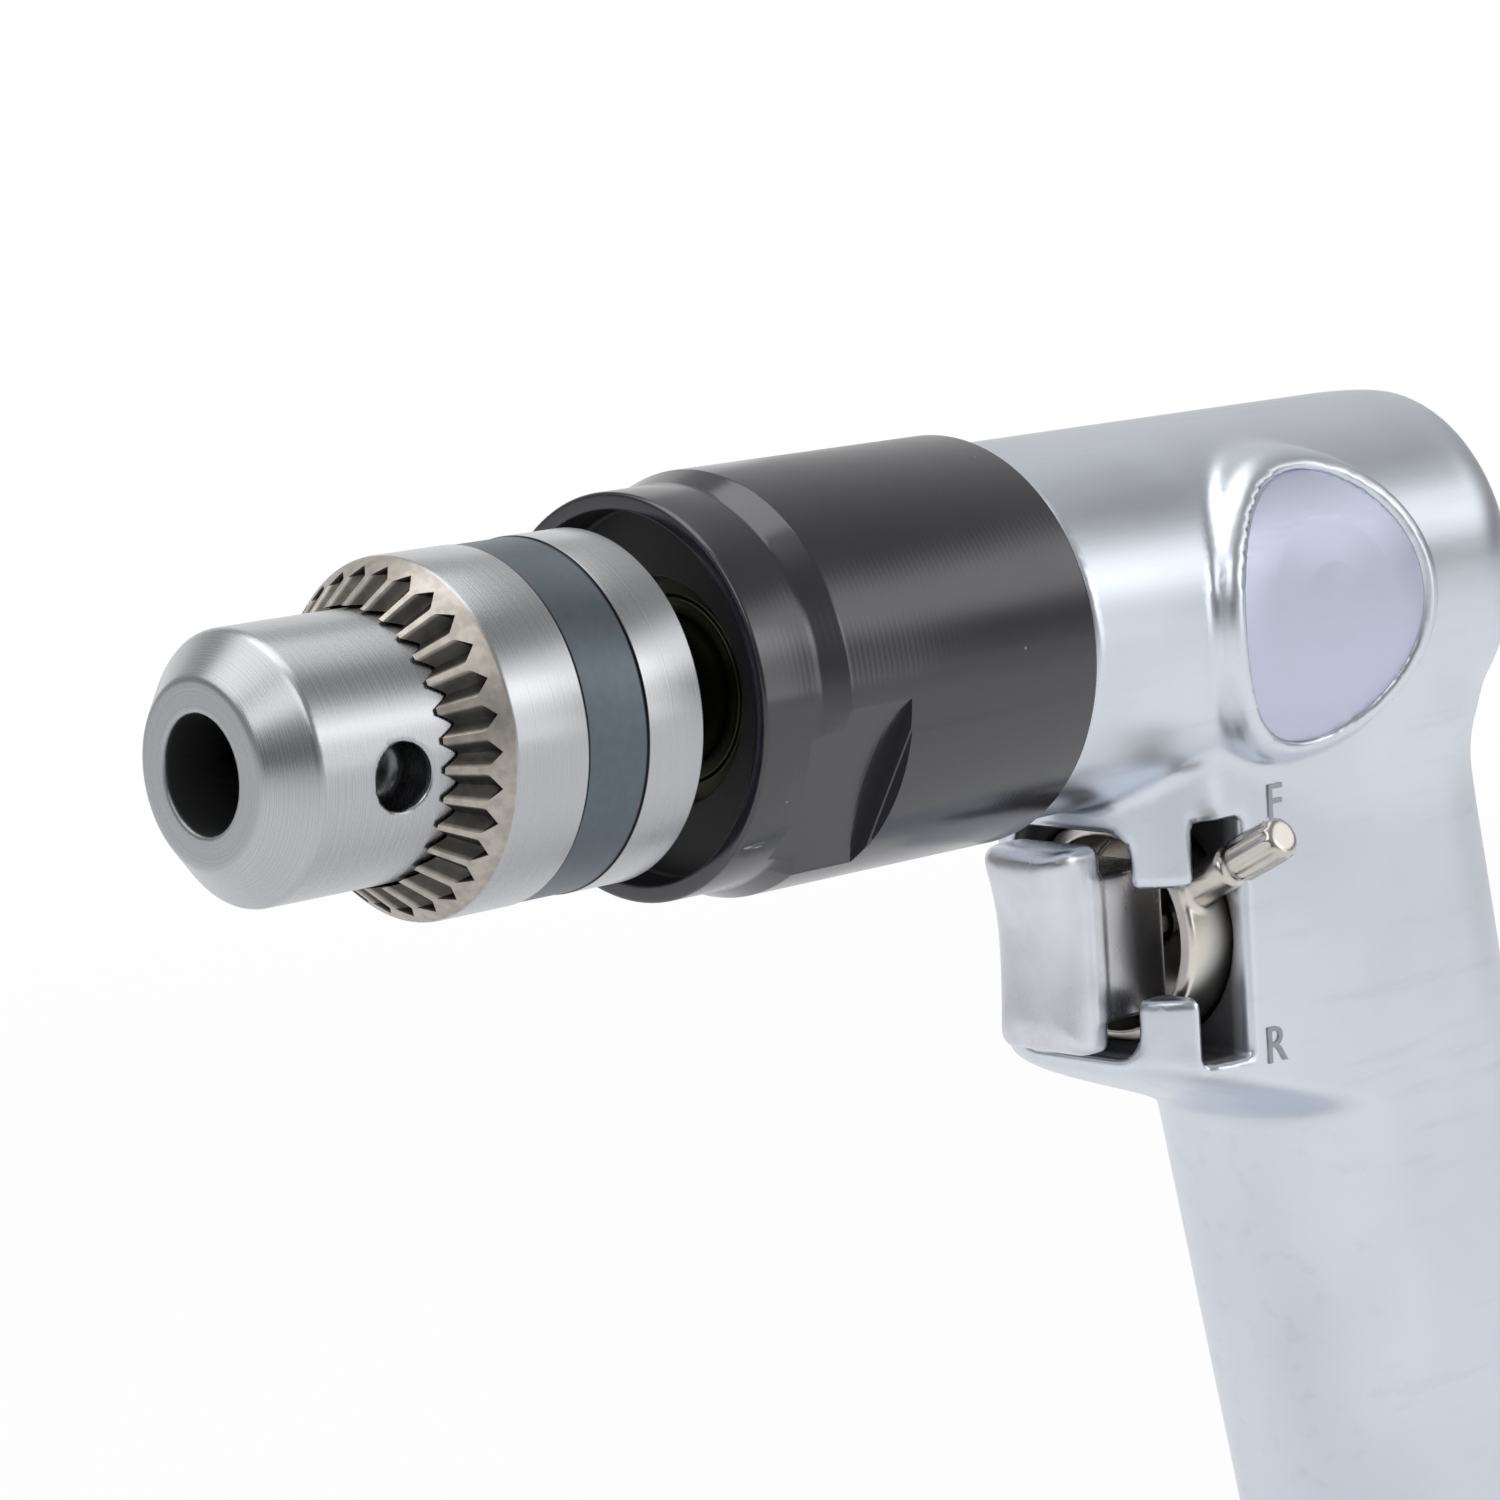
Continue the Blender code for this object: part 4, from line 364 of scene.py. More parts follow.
def rounded(profile, radius, steps=4):
    """Profile of (x, radius) pairs whose inner corners turn along a parabola. It starts and ends
    the given distance, or four tenths of the side, from the corner, whichever is less."""
    profile = [np.array(corner, float) for corner in profile]
    out = [profile[0]]
    for before, corner, after in zip(profile, profile[1:], profile[2:]):
        back, ahead = before - corner, after - corner
        sides = np.linalg.norm(back), np.linalg.norm(ahead)
        reach = min(radius, 0.4 * sides[0], 0.4 * sides[1])
        one, two = corner + back / sides[0] * reach, corner + ahead / sides[1] * reach
        t = np.linspace(0, 1, steps + 1)[:, None]
        out.extend((1 - t) ** 2 * one + 2 * t * (1 - t) * corner + t**2 * two)
    return np.array([*out, profile[-1]])


def turned_points(profile, angles, axis_z):
    """Rings about the spindle's axis: x, and radius times minus cosine and sine of the angle."""
    x, r = profile[:, 0, None], profile[:, 1, None]
    return np.stack(
        [x + 0 * angles, -r * np.cos(angles), axis_z + r * np.sin(angles)], -1
    )


def ring_faces(rows, columns, looped=False):
    """Quads between rows of a grid. Its columns close on themselves, and its rows do if looped."""
    last = rows if looped else rows - 1
    row, column = np.meshgrid(np.arange(last), np.arange(columns), indexing="ij")
    next_row, next_column = (row + 1) % rows, (column + 1) % columns
    quads = [row * columns + column, next_row * columns + column]
    quads += [next_row * columns + next_column, row * columns + next_column]
    return np.stack(quads, -1).reshape(-1, 4)


def join_points(mesh, distance, shortest=0.0):
    """Joins doubled points, removes edges under the shortest, and turns the faces outward."""
    work = bmesh.new()
    work.from_mesh(mesh)
    bmesh.ops.remove_doubles(work, verts=work.verts, dist=distance)
    if shortest:
        bmesh.ops.dissolve_degenerate(work, edges=work.edges, dist=shortest)
    bmesh.ops.recalc_face_normals(work, faces=work.faces)
    work.to_mesh(mesh)
    work.free()


def read_points(mesh):
    """The mesh's points, one row each, in metres."""
    flat = np.empty(len(mesh.vertices) * 3, np.float32)
    mesh.vertices.foreach_get("co", flat)
    return flat.reshape(-1, 3)


def mark(piece, name, values):
    """Stores one number at each point, for the piece's finish."""
    attribute = piece.data.attributes.new(name, "FLOAT", "POINT")
    attribute.data.foreach_set("value", values.astype(np.float32))


def put(name, points, faces, body, slot, *nodes, merge=False):
    """A smooth piece from points in millimetres. It rides on the body and stands for the CAD nodes.
    merge joins doubled points, such as a grid's pole, and turns the faces outward."""
    mesh = bpy.data.meshes.new(name)
    mesh.vertices.add(len(points))
    mesh.vertices.foreach_set("co", (np.asarray(points) * MM).astype(np.float32).ravel())
    mesh.loops.add(faces.size)
    mesh.loops.foreach_set("vertex_index", faces.astype(np.int32).ravel())
    mesh.polygons.add(len(faces))
    mesh.polygons.foreach_set("loop_start", np.arange(len(faces), dtype=np.int32) * faces.shape[1])
    mesh.update(calc_edges=True)
    if merge:
        join_points(mesh, 1e-7, 1e-8)
    mesh.shade_smooth()
    piece = bpy.data.objects.new(name, mesh)
    bpy.context.scene.collection.objects.link(piece)
    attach(piece, body)
    if nodes:
        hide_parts(*nodes)
    return piece


def put_net(name, field, cell, body, slot, node):
    """A surface net round the field. It stands for the CAD node, whose box its grid covers."""
    points, faces = surface_net(field, *span(node), cell)
    return put(name, points, faces, body, slot, node)


def put_turned(name, profile, columns, body, slot, *nodes, axis_z):
    """A closed turned piece from a looped profile of (x, radius) pairs."""
    angles = np.linspace(0, 2 * np.pi, columns, endpoint=False)
    points = turned_points(np.asarray(profile), angles, axis_z).reshape(-1, 3)
    faces = ring_faces(len(profile), columns, looped=True)
    return put(name, points, faces, body, slot, *nodes, merge=True)


# ---------------------------------------------------------------- materials


class Value:
    """A number, or a node's output, that plain arithmetic turns into Math nodes."""

    def __init__(self, finish, socket):
        self.finish, self.socket = finish, socket

    def math(self, operation, *others):
        inputs = dict(enumerate((self, *others)))
        return self.finish.node("ShaderNodeMath", {"operation": operation}, inputs)

    def __add__(self, other):
        return self.math("ADD", other)

    def __sub__(self, other):
        return self.math("SUBTRACT", other)

    def __rsub__(self, other):
        return (self * -1) + other

    def __mul__(self, other):
        return self.math("MULTIPLY", other)

    __radd__, __rmul__ = __add__, __mul__

    def step(self, low, high):
        """0 below low and 1 above high, eased between them."""
        settings = {"interpolation_type": "SMOOTHSTEP"}
        inputs = {"Value": self, "From Min": low, "From Max": high}
        return self.finish.node("ShaderNodeMapRange", settings, inputs, "Result")

    def band(self, low, high, soft):
        """1 between low and high, and 0 outside them."""
        return self.step(low - soft, low + soft) * (1 - self.step(high - soft, high + soft))


class Finish:
    """A procedural material round one Principled shader."""

    def __init__(self, name, tree=None):
        self.material = None
        if tree is None:
            self.material = bpy.data.materials.new(name)
            self.material.use_nodes = True
            tree = self.material.node_tree
            self.shader = tree.nodes["Principled BSDF"]
        self.tree = tree

    def node(self, kind, settings=None, inputs=None, output=0):
        """Adds a node, gives it its settings and the value or link of each socket, and returns one
        of its outputs."""
        node = self.tree.nodes.new(kind)
        for key, value in (settings or {}).items():
            if key == "stops":
                ramp = node.color_ramp.elements
                for place, tint in value[len(ramp) :]:
                    ramp.new(place)
                for stop, (place, tint) in zip(ramp, value):
                    stop.position, stop.color = place, (*tint, 1)
            else:
                setattr(node, key, value)
        for key, value in (inputs or {}).items():
            self.feed(node.inputs[key], value)
        return Value(self, node.outputs[output])

    def feed(self, socket, value):
        if isinstance(value, Value):
            self.tree.links.new(value.socket, socket)
        elif socket.type == "RGBA":
            socket.default_value = (*value, 1)
        else:
            socket.default_value = value

    def mix(self, factor, one, two):
        """Blends two colours."""
        inputs = {0: factor, 6: one, 7: two}
        return self.node("ShaderNodeMix", {"data_type": "RGBA"}, inputs, 2)

    def place(self):
        return self.node("ShaderNodeTexCoord", output="Object")

    def noise(self, scale, detail=3.0, stretch=(1, 1, 1), place=None):
        """Noise from 0 to 1, in features a thousandth of a metre wide at scale 1000."""
        place = place or self.place()
        moved = self.node("ShaderNodeMapping", inputs={"Vector": place, "Scale": stretch})
        return self.node(
            "ShaderNodeTexNoise", inputs={"Vector": moved, "Scale": scale, "Detail": detail}
        )

    def split(self, place=None):
        """X, Y and Z of a place, in millimetres."""
        node = self.node("ShaderNodeSeparateXYZ", inputs={"Vector": place or self.place()})
        outputs = node.socket.node.outputs
        return [Value(self, outputs[axis]) * 1000 for axis in range(3)]

    def turning(self, along, scale):
        """Lines left by a turning tool: noise along one length, in lines about 1/scale mm wide."""
        inputs = {"W": along, "Scale": scale, "Detail": 4.0}
        return self.node("ShaderNodeTexNoise", {"noise_dimensions": "1D"}, inputs)

    def bump(self, height, distance, strength=1.0):
        inputs = {"Height": height, "Distance": distance * MM, "Strength": strength}
        return self.node("ShaderNodeBump", inputs=inputs)

    def shade(self, **sockets):
        """Feeds the shader's sockets; an underscore stands for a space."""
        for key, value in sockets.items():
            self.feed(self.shader.inputs[key.replace("_", " ")], value)
        return self

    def give(self, *pieces):
        for piece in pieces:
            piece.data.materials.clear()
            piece.data.materials.append(self.material)


def darker(tint, share):
    return tuple(channel * share for channel in tint)


def cast_finish(colours):
    """Polished casting: long buffing lines, faint cloudiness, and painted shade in the pockets,
    which are also rougher and less metallic.
    """
    look = Finish("polished_casting")
    pocket_shade = look.node("ShaderNodeAttribute", {"attribute_name": "pocket_shade"}, output="Fac")
    cloud = look.noise(45, 2)
    lines = look.noise(420, 3, (0.12, 1, 1))
    fine = look.noise(2600, 2, (0.1, 1, 1))
    grain = look.noise(1500, 3)
    tint = look.mix(cloud.step(0.35, 0.7), darker(colours.casting, 0.93), colours.casting)
    tint = look.mix(lines.step(0.56, 0.72) * 0.25, tint, darker(colours.casting, 0.8))
    # Painted shade: in the marked pockets and slots, the colour turns near black.
    tint = look.mix(
        pocket_shade, tint, look.mix(grain, darker(colours.casting_pocket_shade, 0.6), colours.casting_pocket_shade)
    )
    rough = 0.2 + cloud * 0.1 + lines * 0.12 + pocket_shade * 0.3
    height = fine * 0.35 + lines * 0.25 + cloud * 2 + grain * pocket_shade * 3
    return look.shade(
        Base_Color=tint, Metallic=1 - pocket_shade * 0.5, Roughness=rough, Normal=look.bump(
            height, 0.02, 0.5
        )
    )


def plate_finish(colours):
    """Bare plate: a satin face with short rolled grain."""
    look = Finish("satin_plate")
    grain = look.noise(1800, 2, (0.15, 1, 1))
    cloud = look.noise(60, 2)
    tint = look.mix(cloud, darker(colours.plate, 0.92), colours.plate)
    return look.shade(
        Base_Color=tint, Metallic=0.85, Roughness=0.34 + grain * 0.16, Normal=look.bump(
            grain, 0.008, 0.5
        )
    )


def around(look, axis_z):
    """Place along the spindle's axis, and distance from it, in millimetres."""
    x, y, z = look.split()
    up = z - axis_z
    return x, (y * y + up * up).math("SQRT")


def black_finish(colours, axis_z):
    """Glossy black over turned metal: fine turning rings, dust specks, short scratches, and painted
    shade inside the mouth.
    """
    look = Finish("glossy_black")
    x, r = around(look, axis_z)
    rings = (x * 9).math("SINE")
    waves = look.noise(70, 2, (2, 0.6, 0.6))
    scratch = look.noise(330, 4, (0.25, 1, 1.4)).step(0.735, 0.76)
    speck = look.node(
        "ShaderNodeTexVoronoi", {"feature": "F1"}, {
            "Vector": look.place(), "Scale": 240.0
        }, "Distance"
    )
    dust = (1 - speck.step(0.035, 0.06)) * look.noise(80, 1).step(0.55, 0.6)
    # Painted shade: within 18.3 mm of the axis, inside the mouth, the black is darkened to three
    # tenths. It is also made rougher.
    inside = 1 - r.step(18.05, 18.3)
    tint = look.mix(scratch * 0.5 + dust * 0.35, colours.sleeve, (0.45, 0.45, 0.47))
    tint = look.mix(inside, tint, darker(colours.sleeve, 0.3))
    return look.shade(
        Base_Color=tint,
        Roughness=0.13 + waves * 0.1 + scratch * 0.2 + inside * 0.4,
        IOR=1.8,
        Normal=look.bump(rings * 0.25 + waves * 3 + scratch, 0.012, 0.35),
    )


def chuck_finish(colours, axis_z):
    """Machined steel: turning lines that follow the face and the cone, and painted shade in the
    bore and the key holes.
    """
    look = Finish("machined_chuck")
    x, r = around(look, axis_z)
    rings = look.turning(x + r, 7)
    grain = look.noise(2200, 2)
    # Painted shade: the bore, within 5.75 mm of the axis, is darkened to a fifth.
    bore = 1 - r.step(5.4, 5.75)
    # Painted shade: behind x = -150 mm and within 12 mm of the axis, which takes in the key holes,
    # the steel is darkened to between a fifth and four tenths.
    hole = (1 - r.step(11.7, 12.3)) * x.step(-151.0, -150.0)
    tint = look.mix(rings.step(0.3, 0.7), darker(colours.chuck, 0.84), colours.chuck)
    tint = look.mix(bore, tint, darker(colours.chuck, 0.2))
    tint = look.mix(
        hole, tint, look.mix(grain, darker(colours.chuck, 0.2), darker(colours.chuck, 0.42))
    )
    return look.shade(
        Base_Color=tint,
        Metallic=1.0,
        Roughness=0.2 + rings * 0.16 + bore * 0.2,
        Normal=look.bump(rings + grain * 0.3, 0.004, 0.5),
    )


def chuck_sleeve_finish(colours):
    """Toothed sleeve: grainy bevel, brushed steel, a dark band between two thin lines, and painted
    shade in the gaps between the teeth.
    """
    look = Finish("chuck_sleeve")
    x = look.split()[0]
    front = 1 - x.step(-133.75, -133.55)
    band = x.band(BAND_FRONT, BAND_BACK, 0.06)
    line = x.band(BAND_FRONT - 0.25, BAND_FRONT + 0.05, 0.08)
    line = line + x.band(BAND_BACK - 0.05, BAND_BACK + 0.25, 0.08)
    brush = look.turning(x, 5)
    grain = look.noise(2600, 3)
    blotch = look.noise(900, 3)
    sunk = look.node("ShaderNodeAttribute", {"attribute_name": "gap_shade"}, output="Fac")
    steel = look.mix(brush, darker(colours.chuck, 0.86), colours.chuck)
    face = look.mix(blotch.step(0.35, 0.65), darker(colours.chuck_teeth, 0.8), colours.chuck_teeth)
    # Painted shade: the tooth gaps take the tooth colour darkened to between a tenth and a quarter.
    painted_shade_flank = look.mix(blotch, darker(colours.chuck_teeth, 0.1), darker(colours.chuck_teeth, 0.27))
    teeth = look.mix(sunk, face, painted_shade_flank)
    tint = look.mix(
        band, steel, look.mix(blotch, darker(colours.chuck_band, 0.8), colours.chuck_band)
    )
    tint = look.mix(front, tint, teeth)
    tint = look.mix(line, tint, (0.015, 0.015, 0.018))
    rough = 0.2 + brush * 0.12 + front * 0.18 + band * 0.16
    height = brush * (1 - front) + grain * front * 2 - line * 6
    return look.shade(
        Base_Color=tint, Metallic=1.0, Roughness=rough, Normal=look.bump(height, 0.012, 0.5)
    )


def metal_finish(name, tint, roughness, grain=900, stretch=(1, 1, 1), metallic=1.0, depth=0.008):
    """Plain metal with worn patches, grain and a little spread of roughness."""
    look = Finish(name)
    patch = look.noise(110, 3)
    fine = look.noise(grain, 3, stretch)
    shade = look.mix(patch.step(0.3, 0.7), darker(tint, 0.8), tint)
    return look.shade(
        Base_Color=shade,
        Metallic=metallic,
        Roughness=roughness + patch * 0.08 + fine * 0.08,
        Normal=look.bump(fine + patch, depth, 0.5),
    )


def soft_finish(name, tint, roughness, grain, depth):
    """Plastic, rubber, felt or composite with its grain."""
    look = Finish(name)
    fine = look.noise(grain, 4)
    patch = look.noise(90, 2)
    shade = look.mix(fine * 0.6 + patch * 0.4, darker(tint, 0.7), tint)
    return look.shade(
        Base_Color=shade, Roughness=roughness + fine * 0.1, Normal=look.bump(fine, depth, 0.6)
    )


# ---------------------------------------------------------------- housing


def body_field(p, s):
    """Oval motor body: the point's share of the oval's radii less one, times the smaller radius.
    Over the last 9 mm the radii draw in along a quarter ellipse."""
    x, y, z = p[..., 0], p[..., 1], p[..., 2] - s.axis_z
    side = s.front_side_r + (s.side_r - s.front_side_r) * np.clip((x - s.front_x) / 22, 0, 1)
    turn = np.clip((x - s.rear_x + 9) / 9, 0, 1)
    drop = 1 - np.sqrt(1 - turn**2)
    a, b = side - 7 * drop, s.height_r - 0.9 * drop
    oval = (np.hypot(y / a, z / b) - 1) * np.minimum(a, b)
    return smooth_max(smooth_max(oval, x - s.rear_x, 1.6), s.front_x - x, 0.6)


def grip_plan(z, s):
    """Front, rear, half width and front corner of the grip at height z. Front and rear are leaning
    lines. The rear has a palm swell and a neck under the body, and the front steps forward to the
    guard."""
    z = np.clip(z, 0, s.axis_z)
    share = z / s.axis_z
    above = np.maximum(z - (s.axis_z - 1.3 * s.height_r), 0) / s.height_r
    rear = 26.5 - 0.15 * z + 6 * share * (1 - share) - 7 * above**1.5
    half = s.grip_base_half + (s.grip_half - s.grip_base_half) * np.clip(z / 83.8, 0, 1)
    forward = ease(-8, 2.5, z - 81.4)
    front = -13 - 0.205 * z
    return front + (s.guard_x - front) * forward, rear, half, half + (9 - half) * forward


def grip_section(p, s):
    """The grip's plan at each height: a box with a half circle for its rear end and rounded
    corners at its front."""
    x, y = p[..., 0], np.abs(p[..., 1])
    front, rear, half, corner = grip_plan(p[..., 2], s)
    middle = (front + rear) / 2
    radius = np.where(x > middle, half, corner)
    past_x = np.abs(x - middle) - (rear - front) / 2 + radius
    past_y = y - half + radius
    outside = np.hypot(np.maximum(past_x, 0), np.maximum(past_y, 0))
    return outside + np.minimum(np.maximum(past_x, past_y), 0) - radius


def housing_outside(p, s):
    """Body, grip and label pad run together. The fillet between body and grip widens from the ears
    to the rear."""
    z = p[..., 2]
    grip = smooth_max(grip_section(p, s), 6.3 - z, 0.8)
    grip = np.maximum(grip, z - s.axis_z)
    fillet = 1.3 + s.fillet * ease(-40, -18, p[..., 0]) * ease(4, 16, s.axis_z - z)
    field = smooth_min(body_field(p, s), grip, fillet)
    radial = np.hypot(p[..., 1], z - s.axis_z)
    disc = np.hypot(p[..., 0] - s.pad_x, z - s.axis_z) - s.pad_r
    pad = smooth_max(np.maximum(disc, p[..., 1]), radial - s.pad_curve_r, 1.9)
    return smooth_min(field, pad, 0.9)


def housing_field(p, s):
    """The casting less its pockets, slots, bores and passages."""
    x, y, z = p[..., 0], p[..., 1], p[..., 2]
    axis, valve = s.axis_z, s.valve_z
    spigot = level(p, -71, s.front_x + 1, axis, s.spigot_r, 0.5)
    field = np.minimum(housing_outside(p, s), spigot)
    radial = np.hypot(y, z - axis)
    disc = np.hypot(x - s.pad_x, z - axis) - (s.pad_r - s.pad_rim)
    floor = s.pad_curve_r - 1.5
    field = carve(field, np.maximum(np.maximum(disc, floor - radial), y), 1.1)
    ears = s.guard_x - 12
    field = carve(field, box(p, (ears, -8.5, valve - 11.9), (-41, 8.5, valve + 11.9), 3), s.edge)
    field = carve(field, box(p, (ears, -40, valve - 5.4), (-41, -5.5, valve + 6.2), 0.2), s.edge)
    field = carve(field, level(p, -41.7, -31.8, valve, 12.4), 0.4)
    field = carve(field, box(p, (-42, -40, valve - 12.7), (-35.8, -6, valve + 12.7), 0.3), s.edge)
    field = carve(field, level(p, -73, -2.1, axis, s.motor_bore_r))
    field = carve(field, level(p, -32, -12.6, valve, 8.5))
    field = carve(field, level(p, -13, 3.3, valve, 7))
    field = carve(field, level(p, -32.8, -23.4, valve - 10.45, 1.6))
    field = carve(field, rod(p, (INLET_X, 0, 21.4), (-4.33, 0, valve), 5.5))
    field = carve(field, upright(p, INLET_X, 0, 0, 9.5, 10.1))
    field = carve(field, upright(p, INLET_X, 0, 9, 24.2, 8.1))
    for side in (-1, 1):
        field = carve(field, rod(p, (-11, side * 11.6, axis - 9), (-4, side * 6, 5), 2.4))
        field = carve(field, upright(p, SCREW_X, side * SCREW_Y, 5, 16, 1.7))
        top = (-21.66, side * 5.5, axis - 13)
        field = carve(field, rod(p, (-21.66, side * 3.3, valve + 4), top, 2.2))
    return field


def left_surface(x, z, s):
    """Y of the housing's left surface at each x and z, by halving the way between a place outside
    and one inside."""
    outer, inner = np.full(len(x), -30.0), np.full(len(x), -5.0)
    for _ in range(30):
        middle = (outer + inner) / 2
        inside = housing_outside(np.stack([x, middle, z], -1), s) < 0
        outer, inner = np.where(inside, outer, middle), np.where(inside, middle, inner)
    return (outer + inner) / 2


class AIRDRILL_OT_housing(bpy.types.Operator):
    """Makes the polished casting"""

    bl_idname = "air_drill.housing"
    bl_label = "Motor Housing"

    def execute(self, context):
        settings = context.scene.air_drill
        s = InMillimetres(settings.housing)
        corners = span("motor_housing")
        points, faces = surface_net(lambda p: housing_field(p, s), *corners, s.cell)
        where = "housing", "housing_alloy", "motor_housing"
        piece = put("motor_housing_casting", points, faces, *where)
        # Painted shade: points more than half a millimetre under the outer hull, and the spigot
        # hidden in the sleeve, are marked for a near black colour.
        depth = np.maximum(-housing_outside(points, s), 0)
        spigot = (points[:, 0] < s.front_x - 0.2).astype(float)
        pocket_shade = np.maximum(ease(0.5, 3.0, depth), spigot)
        mark(piece, "pocket_shade", pocket_shade)
        cast_finish(settings.colours).give(piece)
        return {"FINISHED"}


class AIRDRILL_OT_plate(bpy.types.Operator):
    """Makes the bare plate in the label pad"""

    bl_idname = "air_drill.plate"
    bl_label = "Label Plate"

    def execute(self, context):
        settings = context.scene.air_drill
        s = InMillimetres(settings.housing)
        radius, outer = s.pad_r - s.pad_rim + 0.1, s.pad_curve_r - 0.6
        inner = outer - 0.6
        # From the middle of the outer face, round the edge, to the middle of the inner face.
        section = [(0, outer), (radius / 3, outer), (2 * radius / 3, outer), (radius, outer)]
        section += [(radius, inner), (radius / 2, inner), (0, inner)]
        section = rounded(section, 0.22, 3)
        reach, curve = section[:, 0, None], section[:, 1, None]
        turn = np.linspace(0, 2 * np.pi, 128, endpoint=False)
        up = reach * np.sin(turn)
        points = [s.pad_x + reach * np.cos(turn), -np.sqrt(curve**2 - up**2), s.axis_z + up]
        points = np.stack(points, -1).reshape(-1, 3)
        faces = ring_faces(len(section), len(turn))
        where = "housing", "label_plate", "label_plate"
        piece = put("bare_label_plate", points, faces, *where, merge=True)
        plate_finish(settings.colours).give(piece)
        return {"FINISHED"}


class AIRDRILL_OT_letters(bpy.types.Operator):
    """Makes the raised letters for forward and reverse beside the lever's slot"""

    bl_idname = "air_drill.letters"
    bl_label = "Lever Letters"

    def execute(self, context):
        settings = context.scene.air_drill
        s = InMillimetres(settings.housing)
        look = metal_finish("letter_metal", darker(settings.colours.casting, 0.55), 0.4, 1500)
        for text, x, z in (("F", -30.7, 109.4), ("R", -32.2, 84.0)):
            curve = bpy.data.curves.new("letter", "FONT")
            curve.body, curve.size, curve.extrude = text, 1.4 * settings.hand.letter / MM, 0.3
            curve.align_x, curve.align_y = "CENTER", "CENTER"
            holder = bpy.data.objects.new("letter", curve)
            mesh = bpy.data.meshes.new_from_object(holder)
            flat = read_points(mesh).astype(float)
            across, up = x + flat[:, 0], z + flat[:, 1]
            out = left_surface(across, up, s) - np.where(flat[:, 2] > 0, 0.18, -0.2)
            mesh.vertices.foreach_set("co", (np.stack([across, out, up], -1) * MM).ravel())
            mesh.update()
            join_points(mesh, 1e-6)
            piece = bpy.data.objects.new("raised_letter_" + text, mesh)
            context.scene.collection.objects.link(piece)
            bpy.data.objects.remove(holder)
            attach(piece, "housing")
            look.give(piece)
        return {"FINISHED"}


# ---------------------------------------------------------------- sleeve, chuck and spindle


class AIRDRILL_OT_sleeve(bpy.types.Operator):
    """Makes the glossy black front sleeve with its two wrench flats"""

    bl_idname = "air_drill.sleeve"
    bl_label = "Front Sleeve"

    def execute(self, context):
        settings = context.scene.air_drill
        s, axis_z = InMillimetres(settings.sleeve), settings.housing.axis_z / MM
        low, high = span("front_sleeve")
        front, back = low[0], high[0]
        start, end = front + s.flat_start, front + s.flat_start + s.flat_length
        slope_end = front + s.nose_length + s.step_length
        outer = rounded(
            [
                (front, s.mouth_r + 0.6),
                (front, s.nose_r),
                (front + s.nose_length, s.nose_r),
                (slope_end, s.radius),
                (slope_end + 0.4, s.radius),
                (back, s.radius),
                (back, 18.4),
                (-71.3, 18.4),
                (-71.3, 17.6),
                (-92.2, 17.6),
                (-92.2, 14.2),
                (-99.8, 14.2),
                (-99.8, 11),
                (-101, 11),
                (-101, s.mouth_r),
                (front, s.mouth_r),
                (front, s.mouth_r + 0.6),
            ],
            0.45,
            5,
        )
        # Rings at the flats' ends are added. Each ring has how far its floor stands off the flat.
        before_back = np.arange(len(outer)) < np.argmax(outer[:, 0] > back - 1)
        outside = (outer[:, 1] > 18.5) & before_back
        walls = [(start - 0.02, 99), (start, 0), (end - 0.3, 0), (end - 0.02, 0), (end, 1.15)]
        walls += [(end + 0.16, 1.25), (end + 0.2, 99)]
        skin = outer[outside]
        walls = [(x, np.interp(x, skin[:, 0], skin[:, 1]), floor) for x, floor in walls]
        flat = outside & (outer[:, 0] > start) & (outer[:, 0] < end)
        rings = np.column_stack([outer, np.where(flat, 0.0, 99.0)])
        head = (outer[:, 0] > front + 0.5) & outside
        middle = np.concatenate([rings[head], walls])
        first, last = np.argmax(head), len(head) - np.argmax(head[::-1])
        table = np.concatenate([rings[:first], middle[np.argsort(middle[:, 0])], rings[last:]])
        turn = s.group.flat_angle
        spread = math.acos(s.flat_distance / s.radius)
        nose_spread = math.acos(s.flat_distance / s.nose_r)
        angles = list(np.linspace(0, 2 * np.pi, 288, endpoint=False))
        for middle in (turn, turn + np.pi):
            for reach in (-spread, -nose_spread, spread, nose_spread):
                angles.append((middle + reach) % (2 * np.pi))
        angles = np.unique(np.round(angles, 5))
        points = turned_points(table[:, :2], angles, axis_z)
        radius = np.repeat(table[:, 1:2], len(angles), 1)
        for middle in (turn, turn + np.pi):
            facing = np.cos(angles - middle)
            limit = (s.flat_distance + table[:, 2:3]) / np.where(facing > 0.05, facing, 0.05)
            radius = np.minimum(radius, np.where(facing > 0.05, limit, 1e3))
        points[..., 1] = -radius * np.cos(angles)
        points[..., 2] = axis_z + radius * np.sin(angles)
        faces = ring_faces(len(table), len(angles))
        piece = put(
            "black_front_sleeve", points.reshape(
                -1, 3
            ), faces, "housing", "black_sleeve", "front_sleeve", merge=True
        )
        piece.data.set_sharp_from_angle(angle=math.radians(32))
        black_finish(settings.colours, axis_z).give(piece)
        return {"FINISHED"}


def across(angle):
    """Unit vector across the spindle: 0 is the tool's left and a quarter turn is up."""
    return np.array((0, -math.cos(angle), math.sin(angle)))


def jaw_line(number, axis_z, from_x, to_x):
    """Two points on a jaw's sloping centre line."""
    outward = across(math.radians(54 + 120 * number))
    rise = math.tan(JAW_LEAN)
    places = [(x, 5.6 + (x - JAW_TIP_X) * rise) for x in (from_x, to_x)]
    return [np.array((x, 0, axis_z)) + outward * reach for x, reach in places]


